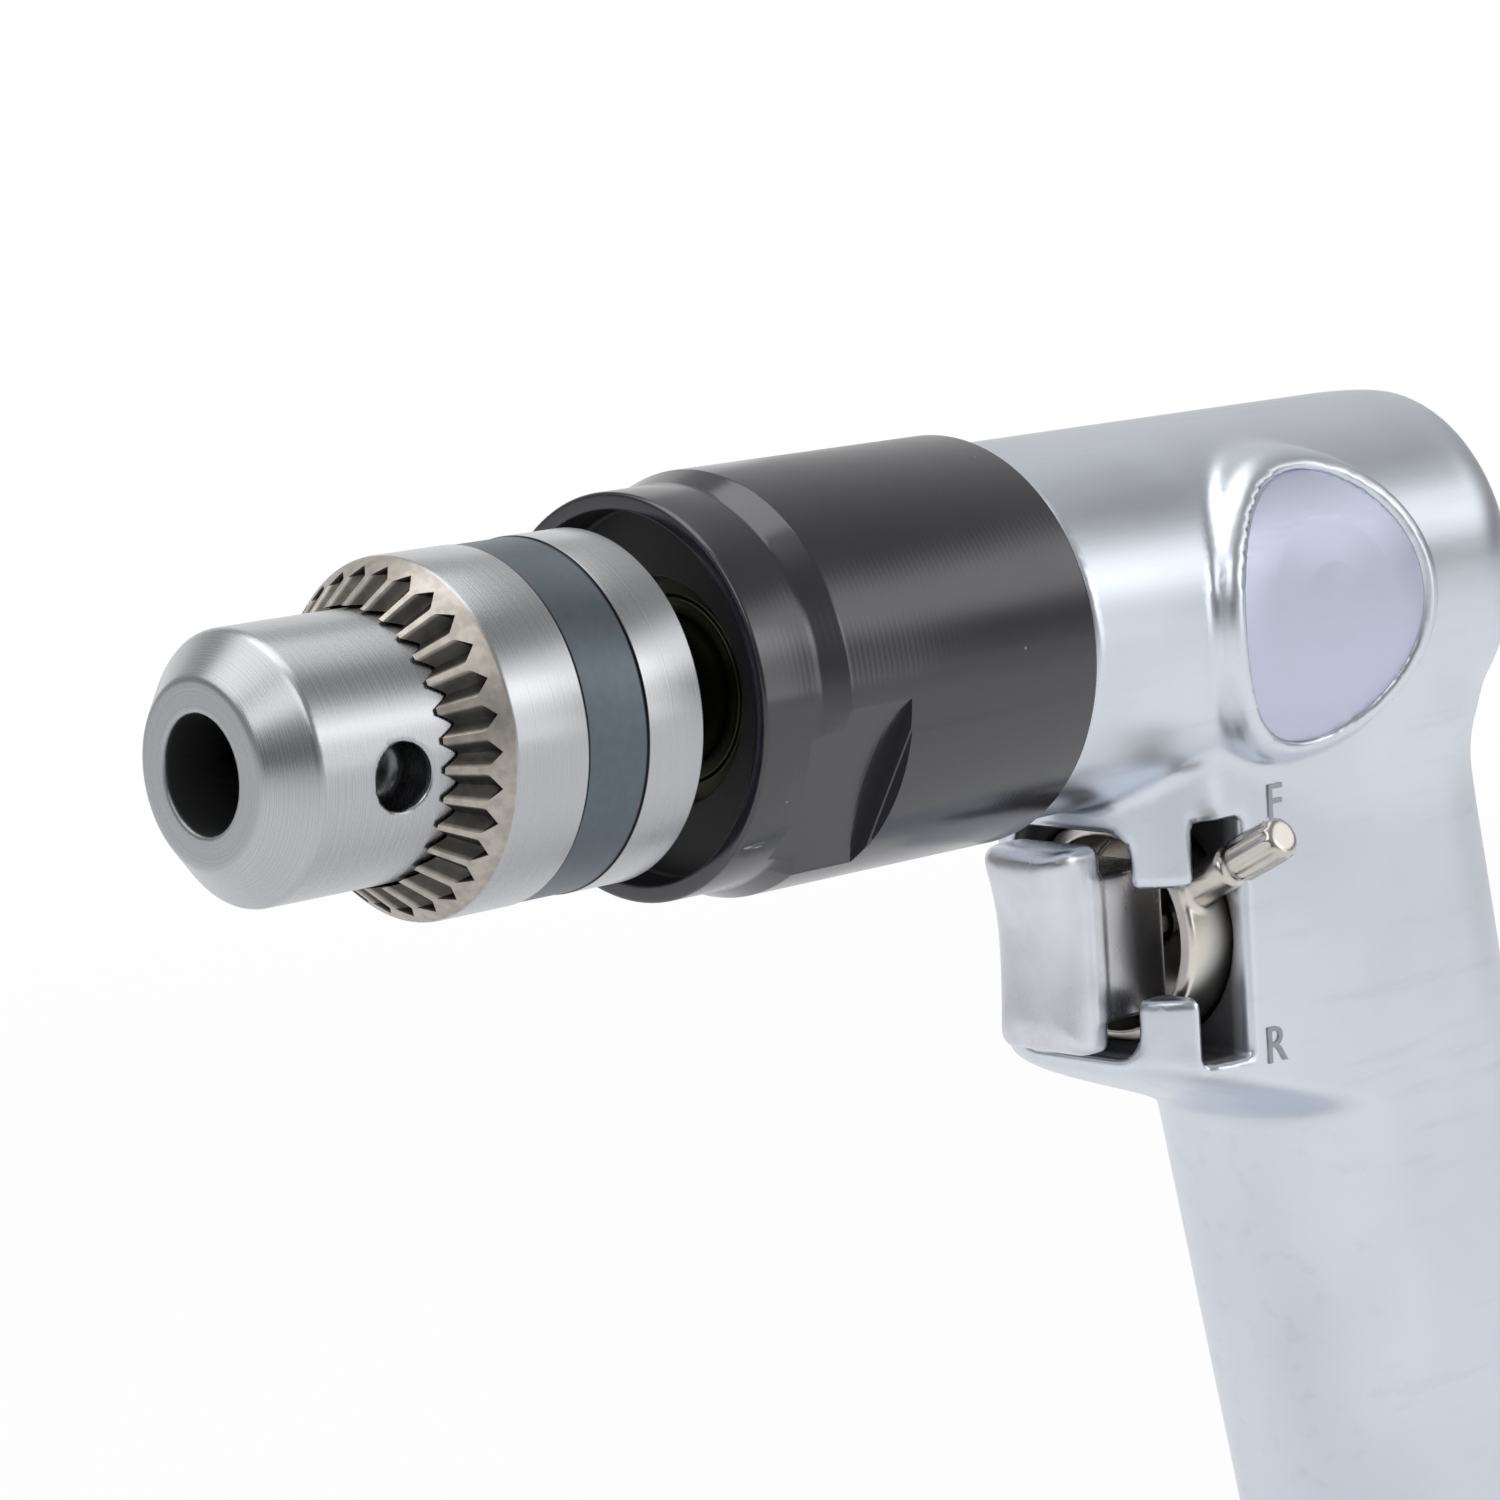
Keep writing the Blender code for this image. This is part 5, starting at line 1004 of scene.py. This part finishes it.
def chuck_field(p, s, axis_z, front):
    """Chuck body: turned outline less its bore, key holes, jaw tracks and thread hole."""
    u, r = p[..., 0] - front, np.hypot(p[..., 1], p[..., 2] - axis_z)

    def part(start, end, radius, k=0.0):
        return level(p, front + start, front + end, axis_z, radius, k)

    cone = (r - s.face_r - u * (s.nose_r - s.face_r) / s.cone) * 0.69
    field = smooth_max(part(0, 26.7, s.nose_r, 0.3), cone, 0.3)
    field = np.minimum(field, part(26, 35, 10.75))
    field = np.minimum(field, part(34.5, 46, s.nose_r))
    field = np.minimum(field, part(41.5, 46, 14.6, 0.4))
    field = carve(field, part(-1, s.bore_depth, s.bore_r), 0.3)
    field = carve(field, part(26, 31.5, 2.6))
    field = carve(field, part(31, 47, 5))
    for number in range(3):
        outward = across(math.radians(-6 + 120 * number))
        centre = np.array((s.key_hole_x, 0, axis_z))
        hole = rod(p, centre + outward * 7.7, centre + outward * 14, s.key_hole_r - 0.1, 1.5)
        field = carve(field, hole, 0.3)
        ends = jaw_line(number, axis_z, front + 1, -115.6)
        field = carve(field, rod(p, *ends, 2.8), 0.3)
    return field


class AIRDRILL_OT_chuck(bpy.types.Operator):
    """Makes the chuck's body with its bore and key holes"""

    bl_idname = "air_drill.chuck"
    bl_label = "Chuck Body"

    def execute(self, context):
        settings = context.scene.air_drill
        s, axis_z = InMillimetres(settings.chuck), settings.housing.axis_z / MM
        front = span("chuck_body")[0][0]

        def field(p):
            return chuck_field(p, s, axis_z, front)

        where = "spindle", "chuck_steel", "chuck_body"
        piece = put_net("machined_chuck_body", field, 0.32, *where)
        chuck_finish(settings.colours, axis_z).give(piece)
        return {"FINISHED"}


class AIRDRILL_OT_chuck_sleeve(bpy.types.Operator):
    """Makes the chuck's sleeve with its bevel teeth"""

    bl_idname = "air_drill.chuck_sleeve"
    bl_label = "Chuck Sleeve"

    def execute(self, context):
        settings = context.scene.air_drill
        s, axis_z = InMillimetres(settings.chuck), settings.housing.axis_z / MM
        front, back = s.sleeve_front_x, span("chuck_sleeve")[1][0]
        inner = s.nose_r + 0.3
        slope = (s.sleeve_r - inner) / s.bevel
        teeth = settings.chuck.teeth
        # Each pitch holds a gap's columns, from wall to wall, and then a land's. The gap is a V.
        # Its width and depth hold along the tooth, then shrink to nothing together, so its outline
        # ends in a point.
        wall = np.concatenate([np.linspace(-1, 1, 9), np.full(4, 1)])
        land = np.concatenate([np.zeros(9), (np.arange(4) + 1) / 5])
        share = np.array((0, 0.25, 0.5, 0.66, 0.74, 0.8, 0.86, 0.93, 1))[:, None]
        open_share = np.clip((1 - share) / 0.27, 0, 1)

        def pitch(width):
            """Place of each column in a pitch whose gap takes the given share of it."""
            return (wall * width + land * (1 - width) * 2) / 2

        number = np.repeat(np.arange(teeth), len(wall))
        angles = (number + np.tile(pitch(0.5), teeth)) * 2 * np.pi / teeth
        width = 0.8 * open_share
        place = (number + np.tile(pitch(width), teeth)) * 2 * np.pi / teeth
        vee = (1 - np.sqrt(wall**2 + 0.02) / math.sqrt(1.02)) * (land == 0)
        vee = np.tile(vee, teeth)
        along = front + share * s.tooth_length
        depth = s.tooth_depth * open_share * vee
        radius = inner + slope * (along - front)
        toothed = [along + depth, -radius * np.cos(place), axis_z + radius * np.sin(place)]
        toothed = np.stack(toothed, -1)
        rear = rounded(
            [
                (front + s.tooth_length, inner + slope * s.tooth_length),
                (front + s.tooth_length + 0.3, inner + slope * (s.tooth_length + 0.3)),
                (front + s.bevel, s.sleeve_r),
                (BAND_FRONT - 0.2, s.sleeve_r),
                (BAND_FRONT, s.sleeve_r - 0.12),
                (BAND_BACK, s.sleeve_r - 0.12),
                (BAND_BACK + 0.2, s.sleeve_r),
                (back, s.sleeve_r),
                (back, 14.9),
                (-131, 14.9),
                (-131, inner),
                (front + 3.6, inner),
                (front + 2.8, inner),
            ],
            0.3,
            4,
        )[1:]
        points = np.concatenate([toothed, turned_points(rear, angles, axis_z)])
        faces = ring_faces(len(points), len(angles), looped=True)
        where = "chuck_sleeve", "chuck_sleeve_steel", "chuck_sleeve"
        piece = put("toothed_chuck_sleeve", points.reshape(-1, 3), faces, *where, merge=True)
        piece.data.set_sharp_from_angle(angle=math.radians(30))
        # The gap mark says where painted shade goes in the tooth gaps.
        x, y, z = read_points(piece.data).T / MM
        reach = np.hypot(y, z - axis_z)
        sunk = x - front - (reach - inner) / slope
        gap_shade = ease(0.02, 0.5, sunk) * (x < front + s.bevel - 0.1) * (reach < s.sleeve_r - 0.3)
        mark(piece, "gap_shade", gap_shade)
        chuck_sleeve_finish(settings.colours).give(piece)
        return {"FINISHED"}


class AIRDRILL_OT_jaws(bpy.types.Operator):
    """Makes the three chuck jaws"""

    bl_idname = "air_drill.jaws"
    bl_label = "Chuck Jaws"

    def execute(self, context):
        settings = context.scene.air_drill
        axis_z = settings.housing.axis_z / MM
        tail_x = JAW_TIP_X + JAW_LENGTH * math.cos(JAW_LEAN)
        look = metal_finish("jaw_metal", tuple(settings.colours.jaw), 0.22, 1300)
        for number in range(3):
            outward = across(math.radians(54 + 120 * number))
            sideways = np.cross(outward, (1, 0, 0))
            ends = jaw_line(number, axis_z, JAW_TIP_X, tail_x)

            def field(p):
                """Round bar cut by a gripping flat and two planes that make a 120 degree wedge."""
                offset = p - np.array((0, 0, axis_z))
                reach, side = offset @ outward, np.abs(offset @ sideways)
                wedge = (side - JAW_FLAT_HALF - (reach - 5) * math.tan(math.radians(60))) * 0.5
                bar = rod(p, *ends, 2.6, 0.3)
                return smooth_max(smooth_max(bar, wedge, 0.15), 5 - reach, 0.15)

            ending = f"jaw_{number + 1}"
            where = ending, "jaw_steel", "chuck_" + ending
            look.give(put_net("ground_" + ending, field, 0.26, *where))
        return {"FINISHED"}


class AIRDRILL_OT_spindle(bpy.types.Operator):
    """Makes the spindle and its bearing, seen in the gap behind the chuck"""

    bl_idname = "air_drill.spindle"
    bl_label = "Spindle and Bearing"

    def execute(self, context):
        settings = context.scene.air_drill
        axis_z = settings.housing.axis_z / MM
        low, high = span("spindle")
        front, back = low[0], high[0]

        def field(p):
            """Thread core, shoulder and carrier plate, less the screw hole and the pin holes."""
            out = level(p, front, -109, axis_z, 4.7, 0.3)
            out = np.minimum(out, level(p, -109.7, back - 1, axis_z, 7.3, 0.5))
            out = np.minimum(out, level(p, back - 2.8, back, axis_z, 13.5, 0.3))
            out = carve(out, level(p, front - 1, front + 10.5, axis_z, 2.6, 0.3))
            for number in range(3):
                _, y, up = across(math.radians(90 + 120 * number)) * 9.45
                hole = rod(p, (back - 4, y, up + axis_z), (back + 1, y, up + axis_z), 2.2)
                out = carve(out, hole)
            return out

        shaft = put_net("ground_spindle", field, 0.4, "spindle", "motor_steel", "spindle")
        # Painted shade: the shaft's steel is darkened to 0.16, for the shade in the gap behind the
        # chuck.
        metal_finish("ground_shaft", (0.16, 0.16, 0.15), 0.25, 1200).give(shaft)
        low, high = span("spindle_bearing")
        front, back = low[0], high[0]
        outline = [(front, 7.5), (front, 9), (front + 0.5, 9.2), (front + 0.5, 12.3), (front, 12.5)]
        outline += [(front, 14), (back, 14), (back, 12.5), (back - 0.5, 12.3), (back - 0.5, 9.2)]
        outline += [(back, 9), (back, 7.5), (front, 7.5), (front, 9)]
        profile = rounded(outline, 0.2, 3)[1:-2]
        where = "housing", "bearing_steel", "spindle_bearing"
        bearing = put_turned("sealed_bearing", profile, 96, *where, axis_z=axis_z)
        # Painted shade: the bearing is darkened to near black with a slight olive tint, for the
        # shade inside the sleeve's mouth.
        metal_finish("shaded_bearing_ring", (0.06, 0.06, 0.04), 0.3, 900).give(bearing)
        return {"FINISHED"}


# ---------------------------------------------------------------- trigger and lever


class AIRDRILL_OT_trigger(bpy.types.Operator):
    """Makes the finger trigger with its hollowed front"""

    bl_idname = "air_drill.trigger"
    bl_label = "Trigger"

    def execute(self, context):
        settings = context.scene.air_drill
        s, valve = InMillimetres(settings.hand), settings.housing.valve_z / MM
        back = span("trigger")[1][0]

        def field(p):
            """Finger pad with a leaning hollow front, and a lower tail behind it."""
            x, y, up = p[..., 0], np.abs(p[..., 1]), p[..., 2] - valve
            tall = np.clip(up / s.trigger_height, 0, 1.1) ** 2
            low_lip = np.clip(-up / s.trigger_height, 0, 1.1) ** 2
            front = s.trigger_x - 2.2 * tall - 0.66 * low_lip
            side = y - s.trigger_half
            pad = smooth_max(side, np.abs(up) - s.trigger_height, 1.6)
            pad = smooth_max(pad, front - x, 4.0)
            pad = smooth_max(pad, x + 48, 0.5)
            half = s.trigger_half
            tail = box(p, (-50, -half, valve - 7.8), (back, half, valve + 7.8), 0.4)
            stem_hole = level(p, back - 4, back + 1, valve, 2.2)
            return carve(smooth_min(pad, tail, 0.5), stem_hole)

        piece = put_net("polished_trigger", field, 0.3, "trigger", "trigger_alloy", "trigger")
        tint = tuple(settings.colours.trigger)
        metal_finish("trigger_metal", tint, 0.2, 1100, (1, 1, 0.15)).give(piece)
        return {"FINISHED"}


class AIRDRILL_OT_lever(bpy.types.Operator):
    """Makes the reversing lever with its fluted pin"""

    bl_idname = "air_drill.lever"
    bl_label = "Reversing Lever"

    def execute(self, context):
        settings = context.scene.air_drill
        s, valve = InMillimetres(settings.hand), settings.housing.valve_z / MM
        centre = np.array((-38.9, 0, valve))
        outward = across(math.radians(27))
        sideways = np.cross(outward, (1, 0, 0))

        def field(p):
            """Cup-shaped ring and a pin. The radius of the pin's outer end follows a cosine round
            it, which makes shallow flutes."""
            ring = level(p, -41.3, -32.1, valve, s.lever_r, 0.5)
            ring = carve(ring, level(p, -43, -33.6, valve, s.lever_r - 1.8), 0.3)
            ring = carve(ring, level(p, -34, -31, valve, 2.3))
            offset = p - centre
            along = offset @ outward
            one, two = offset @ sideways, offset[..., 0]
            around = np.arctan2(two, one)
            fluted = ease(19.2, 19.8, along) * (1 - ease(25.2, 25.9, along))
            thick = s.lever_pin_r - 0.16 * (1 - fluted) + 0.13 * fluted * (np.cos(12 * around) - 1)
            thick = thick - 0.35 * ease(17.8, 18.2, along) * (1 - ease(18.8, 19.3, along))
            pin = np.hypot(one, two) - thick
            pin = smooth_max(pin, along - s.lever_reach, 1.0)
            pin = np.maximum(pin, s.lever_r - 0.9 - along)
            return smooth_min(ring, pin, 0.9)

        where = "reverse_lever", "lever_nickel", "reverse_lever"
        piece = put_net("nickelled_lever", field, 0.3, *where)
        metal_finish("lever_metal", tuple(settings.colours.lever), 0.16, 1300).give(piece)
        return {"FINISHED"}


class AIRDRILL_OT_spring(bpy.types.Operator):
    """Makes the throttle's coil spring"""

    bl_idname = "air_drill.spring"
    bl_label = "Throttle Spring"

    def execute(self, context):
        valve = context.scene.air_drill.housing.valve_z / MM
        low, high = span("throttle_spring")
        wire, whole = SPRING_WIRE, 2 * np.pi * SPRING_TURNS
        coil_r = (high[1] - low[1]) / 2 - wire
        # A round wire whose centre climbs evenly along a circle. The first and last rings close
        # to a point.
        angle = np.linspace(0, whole, 32 * SPRING_TURNS)
        angle = np.concatenate([[0], angle, [whole]])[:, None]
        thick = np.full(angle.shape, wire)
        thick[0] = thick[-1] = 0
        climb = (high[0] - low[0] - 2 * wire) / angle[-1]
        around = np.linspace(0, 2 * np.pi, 12, endpoint=False)
        radius = coil_r + thick * np.cos(around)
        points = np.stack(
            [
                low[0] + wire + climb * angle + thick * np.sin(around),
                -radius * np.cos(angle),
                valve + radius * np.sin(angle),
            ],
            -1,
        )
        faces = ring_faces(len(angle), len(around))
        where = "housing", "spring_steel", "throttle_spring"
        piece = put("throttle_coil", points.reshape(-1, 3), faces, *where, merge=True)
        metal_finish("spring_wire", *INNER_METALS["spring_steel"]).give(piece)
        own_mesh(piece)
        return {"FINISHED"}


# ---------------------------------------------------------------- base of the grip


class AIRDRILL_OT_base(bpy.types.Operator):
    """Makes the exhaust cap, its two socket screws and the air inlet"""

    bl_idname = "air_drill.base"
    bl_label = "Exhaust Cap and Inlet"

    def execute(self, context):
        settings = context.scene.air_drill
        s = InMillimetres(settings.housing)

        def cap_field(p):
            """The grip's plan between two flats with a chamfered foot, less its openings."""
            z = p[..., 2]
            plan = grip_section(p, s)
            field = smooth_max(smooth_max(plan, -z, 0.4), (plan + 1.2 - z) * 0.71, 0.6)
            field = smooth_max(field, z - 6, 0.3)
            field = carve(field, upright(p, INLET_X, 0, -1, 7, 10.4), 0.4)
            field = carve(field, box(p, (-10.8, -6.3, 2), (-0.2, 6.3, 7)))
            for x in (-8.5, -5.5, -2.5):
                field = carve(field, box(p, (x - 0.8, -4, -1), (x + 0.8, 4, 3), 0.7), 0.5)
            for side in (-1, 1):
                field = carve(field, upright(p, SCREW_X, side * SCREW_Y, -1, 2.9, 2.8), 0.3)
                field = carve(field, upright(p, SCREW_X, side * SCREW_Y, 2, 7, 1.7))
            return field

        where = "housing", "cap_plastic", "exhaust_cap"
        cap = put_net("grained_exhaust_cap", cap_field, 0.45, *where)
        soft_finish("cap_plastic", tuple(settings.colours.cap), 0.42, 1800, 0.03).give(cap)

        def inlet_field(p):
            """Six-sided head with turned corners on a round shank, less the bore."""
            x, y, z = p[..., 0] - INLET_X, p[..., 1], p[..., 2]
            head = smooth_max(six_sided(y, x) - 8.5, np.abs(z - 5) - 4.2, 0.3)
            head = smooth_max(head, (np.hypot(x, y) + np.abs(z - 5) - 13.1) * 0.7, 0.3)
            shank = upright(p, INLET_X, 0, 8, 22.2, 7.8, 0.4)
            bore = upright(p, INLET_X, 0, -1, 23, 5.7)
            return carve(np.minimum(head, shank), bore, 0.6)

        where = "housing", "inlet_steel", "inlet_bushing"
        inlet = put_net("zinc_inlet", inlet_field, 0.36, *where)
        metal_finish("zinc_plate", (0.58, 0.57, 0.54), 0.3, 800).give(inlet)
        look = metal_finish("black_oxide", (0.05, 0.05, 0.055), 0.35, 1500, metallic=0.8)
        for number, side in ((1, -1), (2, 1)):
            screw_y = side * SCREW_Y

            def screw_field(p):
                """Round head with a six-sided socket, and a plain shank."""
                x, y, z = p[..., 0] - SCREW_X, p[..., 1] - screw_y, p[..., 2]
                head = upright(p, SCREW_X, screw_y, 0.6, 2.6, 2.6, 0.3)
                shank = upright(p, SCREW_X, screw_y, 2, 15, 1.5, 0.3)
                socket = np.maximum(six_sided(x, y) - 1.25, z - 1.9)
                return carve(np.minimum(head, shank), socket, 0.1)

            where = "housing", "screw_steel", f"cap_screw_{number}"
            look.give(put_net(f"socket_screw_{number}", screw_field, 0.22, *where))
        return {"FINISHED"}


INNER_METALS = {
    "gear_steel": ((0.3, 0.3, 0.31), 0.3),
    "bearing_steel": ((0.6, 0.6, 0.61), 0.2),
    "motor_alloy": ((0.65, 0.66, 0.68), 0.3),
    "motor_steel": ((0.5, 0.5, 0.51), 0.25),
    "spring_steel": ((0.45, 0.45, 0.46), 0.3),
    "screw_steel": ((0.05, 0.05, 0.055), 0.35),
    "screen_brass": ((0.72, 0.58, 0.3), 0.3),
    "valve_brass": ((0.75, 0.6, 0.32), 0.25),
    "jaw_steel": ((0.22, 0.22, 0.23), 0.3),
}
INNER_SOFT = {
    "seal_rubber": ((0.02, 0.02, 0.02), 0.55, 1500, 0.01),
    "muffler_felt": ((0.5, 0.5, 0.48), 0.85, 2600, 0.12),
    "vane_composite": ((0.28, 0.19, 0.11), 0.5, 900, 0.02),
}


class AIRDRILL_OT_inner(bpy.types.Operator):
    """Gives every carried-over inner piece its finish"""

    bl_idname = "air_drill.inner"
    bl_label = "Inner Pieces"

    def execute(self, context):
        looks = {
            slot: metal_finish(slot + "_look", *values) for slot, values in INNER_METALS.items()
        }
        looks |= {slot: soft_finish(slot + "_look", *values) for slot, values in INNER_SOFT.items()}
        for part in frame["record"]["subparts"]:
            node = frame["nodes"][part["node"]]
            if not node.hide_render:
                looks[part["material_slot"]].give(node)
        return {"FINISHED"}


# ---------------------------------------------------------------- stage


def softbox(name, place, aim, width, height, power):
    """A rectangular studio light that faces a point."""
    lamp = bpy.data.lights.new(name, "AREA")
    lamp.shape, lamp.size, lamp.size_y, lamp.energy = "RECTANGLE", width, height, power
    item = bpy.data.objects.new(name, lamp)
    item.location = place
    item.rotation_euler = (Vector(aim) - Vector(place)).to_track_quat("-Z", "Y").to_euler()
    bpy.context.scene.collection.objects.link(item)
    return item


class AIRDRILL_OT_stage(bpy.types.Operator):
    """Sets up the floor, the studio light and the camera"""

    bl_idname = "air_drill.stage"
    bl_label = "Stage"

    def execute(self, context):
        scene, stage = context.scene, context.scene.air_drill.stage
        camera = bpy.data.cameras.new("camera")
        camera.lens, camera.sensor_width = stage.lens, 36
        camera.clip_start, camera.clip_end = 0.01, 50
        eye = bpy.data.objects.new("camera", camera)
        eye.location = (-0.40414, -0.34489, 0.18919)
        eye.rotation_euler = (
            math.radians(81.879), math.radians(3.677), -stage.heading - math.radians(0.524)
        )
        scene.collection.objects.link(eye)
        scene.camera = eye

        floor = bpy.data.meshes.new("floor")
        floor.from_pydata([(-9, -9, 0), (9, -9, 0), (9, 9, 0), (-9, 9, 0)], [], [(0, 1, 2, 3)])
        ground = bpy.data.objects.new("floor", floor)
        scene.collection.objects.link(ground)
        paper = Finish("floor_paper")
        seen = paper.node("ShaderNodeLightPath", output="Is Camera Ray")
        glow = paper.node("ShaderNodeEmission", inputs={"Color": (1, 1, 1), "Strength": 1.0})
        x, y, _ = paper.split()
        far = ((x * x + y * y).math("SQRT")).step(350, 900)
        paper.shade(Base_Color=(0.86, 0.86, 0.87), Roughness=0.8)
        mixed = paper.node(
            "ShaderNodeMixShader",
            inputs={
                0: seen * (0.88 + far * 0.12), 1: Value(paper, paper.shader.outputs[0]), 2: glow
            },
        )
        paper.feed(paper.tree.nodes["Material Output"].inputs["Surface"], mixed)
        paper.give(ground)

        world = bpy.data.worlds.new("studio")
        world.use_nodes = True
        scene.world = world
        sky = Finish("sky", world.node_tree)
        path = sky.node("ShaderNodeLightPath").socket.node.outputs
        ray = {
            name: Value(sky, path[f"Is {name} Ray"]) for name in (
                "Camera", "Glossy", "Transmission"
            )
        }
        toward = sky.node("ShaderNodeTexCoord", output="Generated")
        x, y, z = [part * MM for part in sky.split(toward)]
        ahead = x * math.sin(stage.heading) + y * math.cos(stage.heading)
        # Dim overhead and dark behind the camera, pale beyond the tool, with a strip at the left
        # and a lamp above.
        strip = z.band(0.26, 0.56, 0.09) * (1 - y.step(-0.35, 0.1)) * x.step(0.0, 0.4)
        lamp = (x * -0.485 + y * 0.357 + z * 0.797).step(0.88, 0.97)
        studio = 0.3 + ahead.step(0.25, 0.95) * 0.32 + strip * 1.1 + lamp * 1.1
        studio = studio + z.step(0.8, 0.98) * 0.5 + (1 - z.step(-0.02, 0.14)) * 0.15
        studio = studio * (1 - (ahead * -1).step(0.86, 0.975) * 0.8) * (1 - x.step(0.8, 0.97) * 0.5)
        plain = ray["Glossy"].math("MAXIMUM", ray["Transmission"])
        strength = plain * studio + (1 - plain) * stage.sky
        strength = ray["Camera"] + (1 - ray["Camera"]) * strength
        background = sky.tree.nodes["Background"]
        sky.feed(background.inputs["Strength"], strength)
        background.inputs["Color"].default_value = (1, 1, 1, 1)

        aim = (-0.06, 0, 0.11)
        softbox("key_softbox", (-0.55, -0.3, 0.62), aim, 0.5, 0.35, stage.key)
        softbox("top_softbox", (-0.05, 0.1, 0.8), aim, 0.8, 0.5, stage.key * 1.9)
        softbox("right_softbox", (0.35, -0.75, 0.3), aim, 0.35, 0.5, stage.key * 0.7)
        softbox("rim_softbox", (0.2, 0.7, 0.35), aim, 0.6, 0.5, stage.key * 0.4)
        scene.view_settings.view_transform = "Standard"
        return {"FINISHED"}


PIECES = (
    AIRDRILL_OT_housing,
    AIRDRILL_OT_plate,
    AIRDRILL_OT_letters,
    AIRDRILL_OT_sleeve,
    AIRDRILL_OT_chuck,
    AIRDRILL_OT_chuck_sleeve,
    AIRDRILL_OT_jaws,
    AIRDRILL_OT_spindle,
    AIRDRILL_OT_trigger,
    AIRDRILL_OT_lever,
    AIRDRILL_OT_spring,
    AIRDRILL_OT_base,
    AIRDRILL_OT_inner,
    AIRDRILL_OT_stage,
)


class AIRDRILL_PT_panel(bpy.types.Panel):
    """Lists the drill's pieces and sizes"""

    bl_idname = "AIRDRILL_PT_panel"
    bl_label = "Air Drill"
    bl_space_type = "VIEW_3D"
    bl_region_type = "UI"
    bl_category = "Air Drill"

    def draw(self, context):
        for piece in PIECES:
            self.layout.operator(piece.bl_idname)
        settings = context.scene.air_drill
        for group in (
            settings.housing, settings.sleeve, settings.chuck, settings.hand, settings.colours
        ):
            column = self.layout.column(align=True)
            for name in group.bl_rna.properties.keys():
                if name not in ("rna_type", "name"):
                    column.prop(group, name)


GROUPS = (
    HousingSizes, SleeveSizes, ChuckSizes, HandSizes, DrillColours, StageSettings, DrillSettings
)


def register():
    for item in (*GROUPS, *PIECES, AIRDRILL_PT_panel):
        bpy.utils.register_class(item)
    bpy.types.Scene.air_drill = PointerProperty(type=DrillSettings)


def unregister():
    del bpy.types.Scene.air_drill
    for item in (AIRDRILL_PT_panel, *reversed(PIECES), *reversed(GROUPS)):
        bpy.utils.unregister_class(item)


def main():
    register()
    for name in ("Cube", "Light", "Camera"):
        if name in bpy.data.objects:
            bpy.data.objects.remove(bpy.data.objects[name])
    for piece in PIECES:
        group, name = piece.bl_idname.split(".")
        getattr(getattr(bpy.ops, group), name)()


if __name__ == "__main__":
    main()
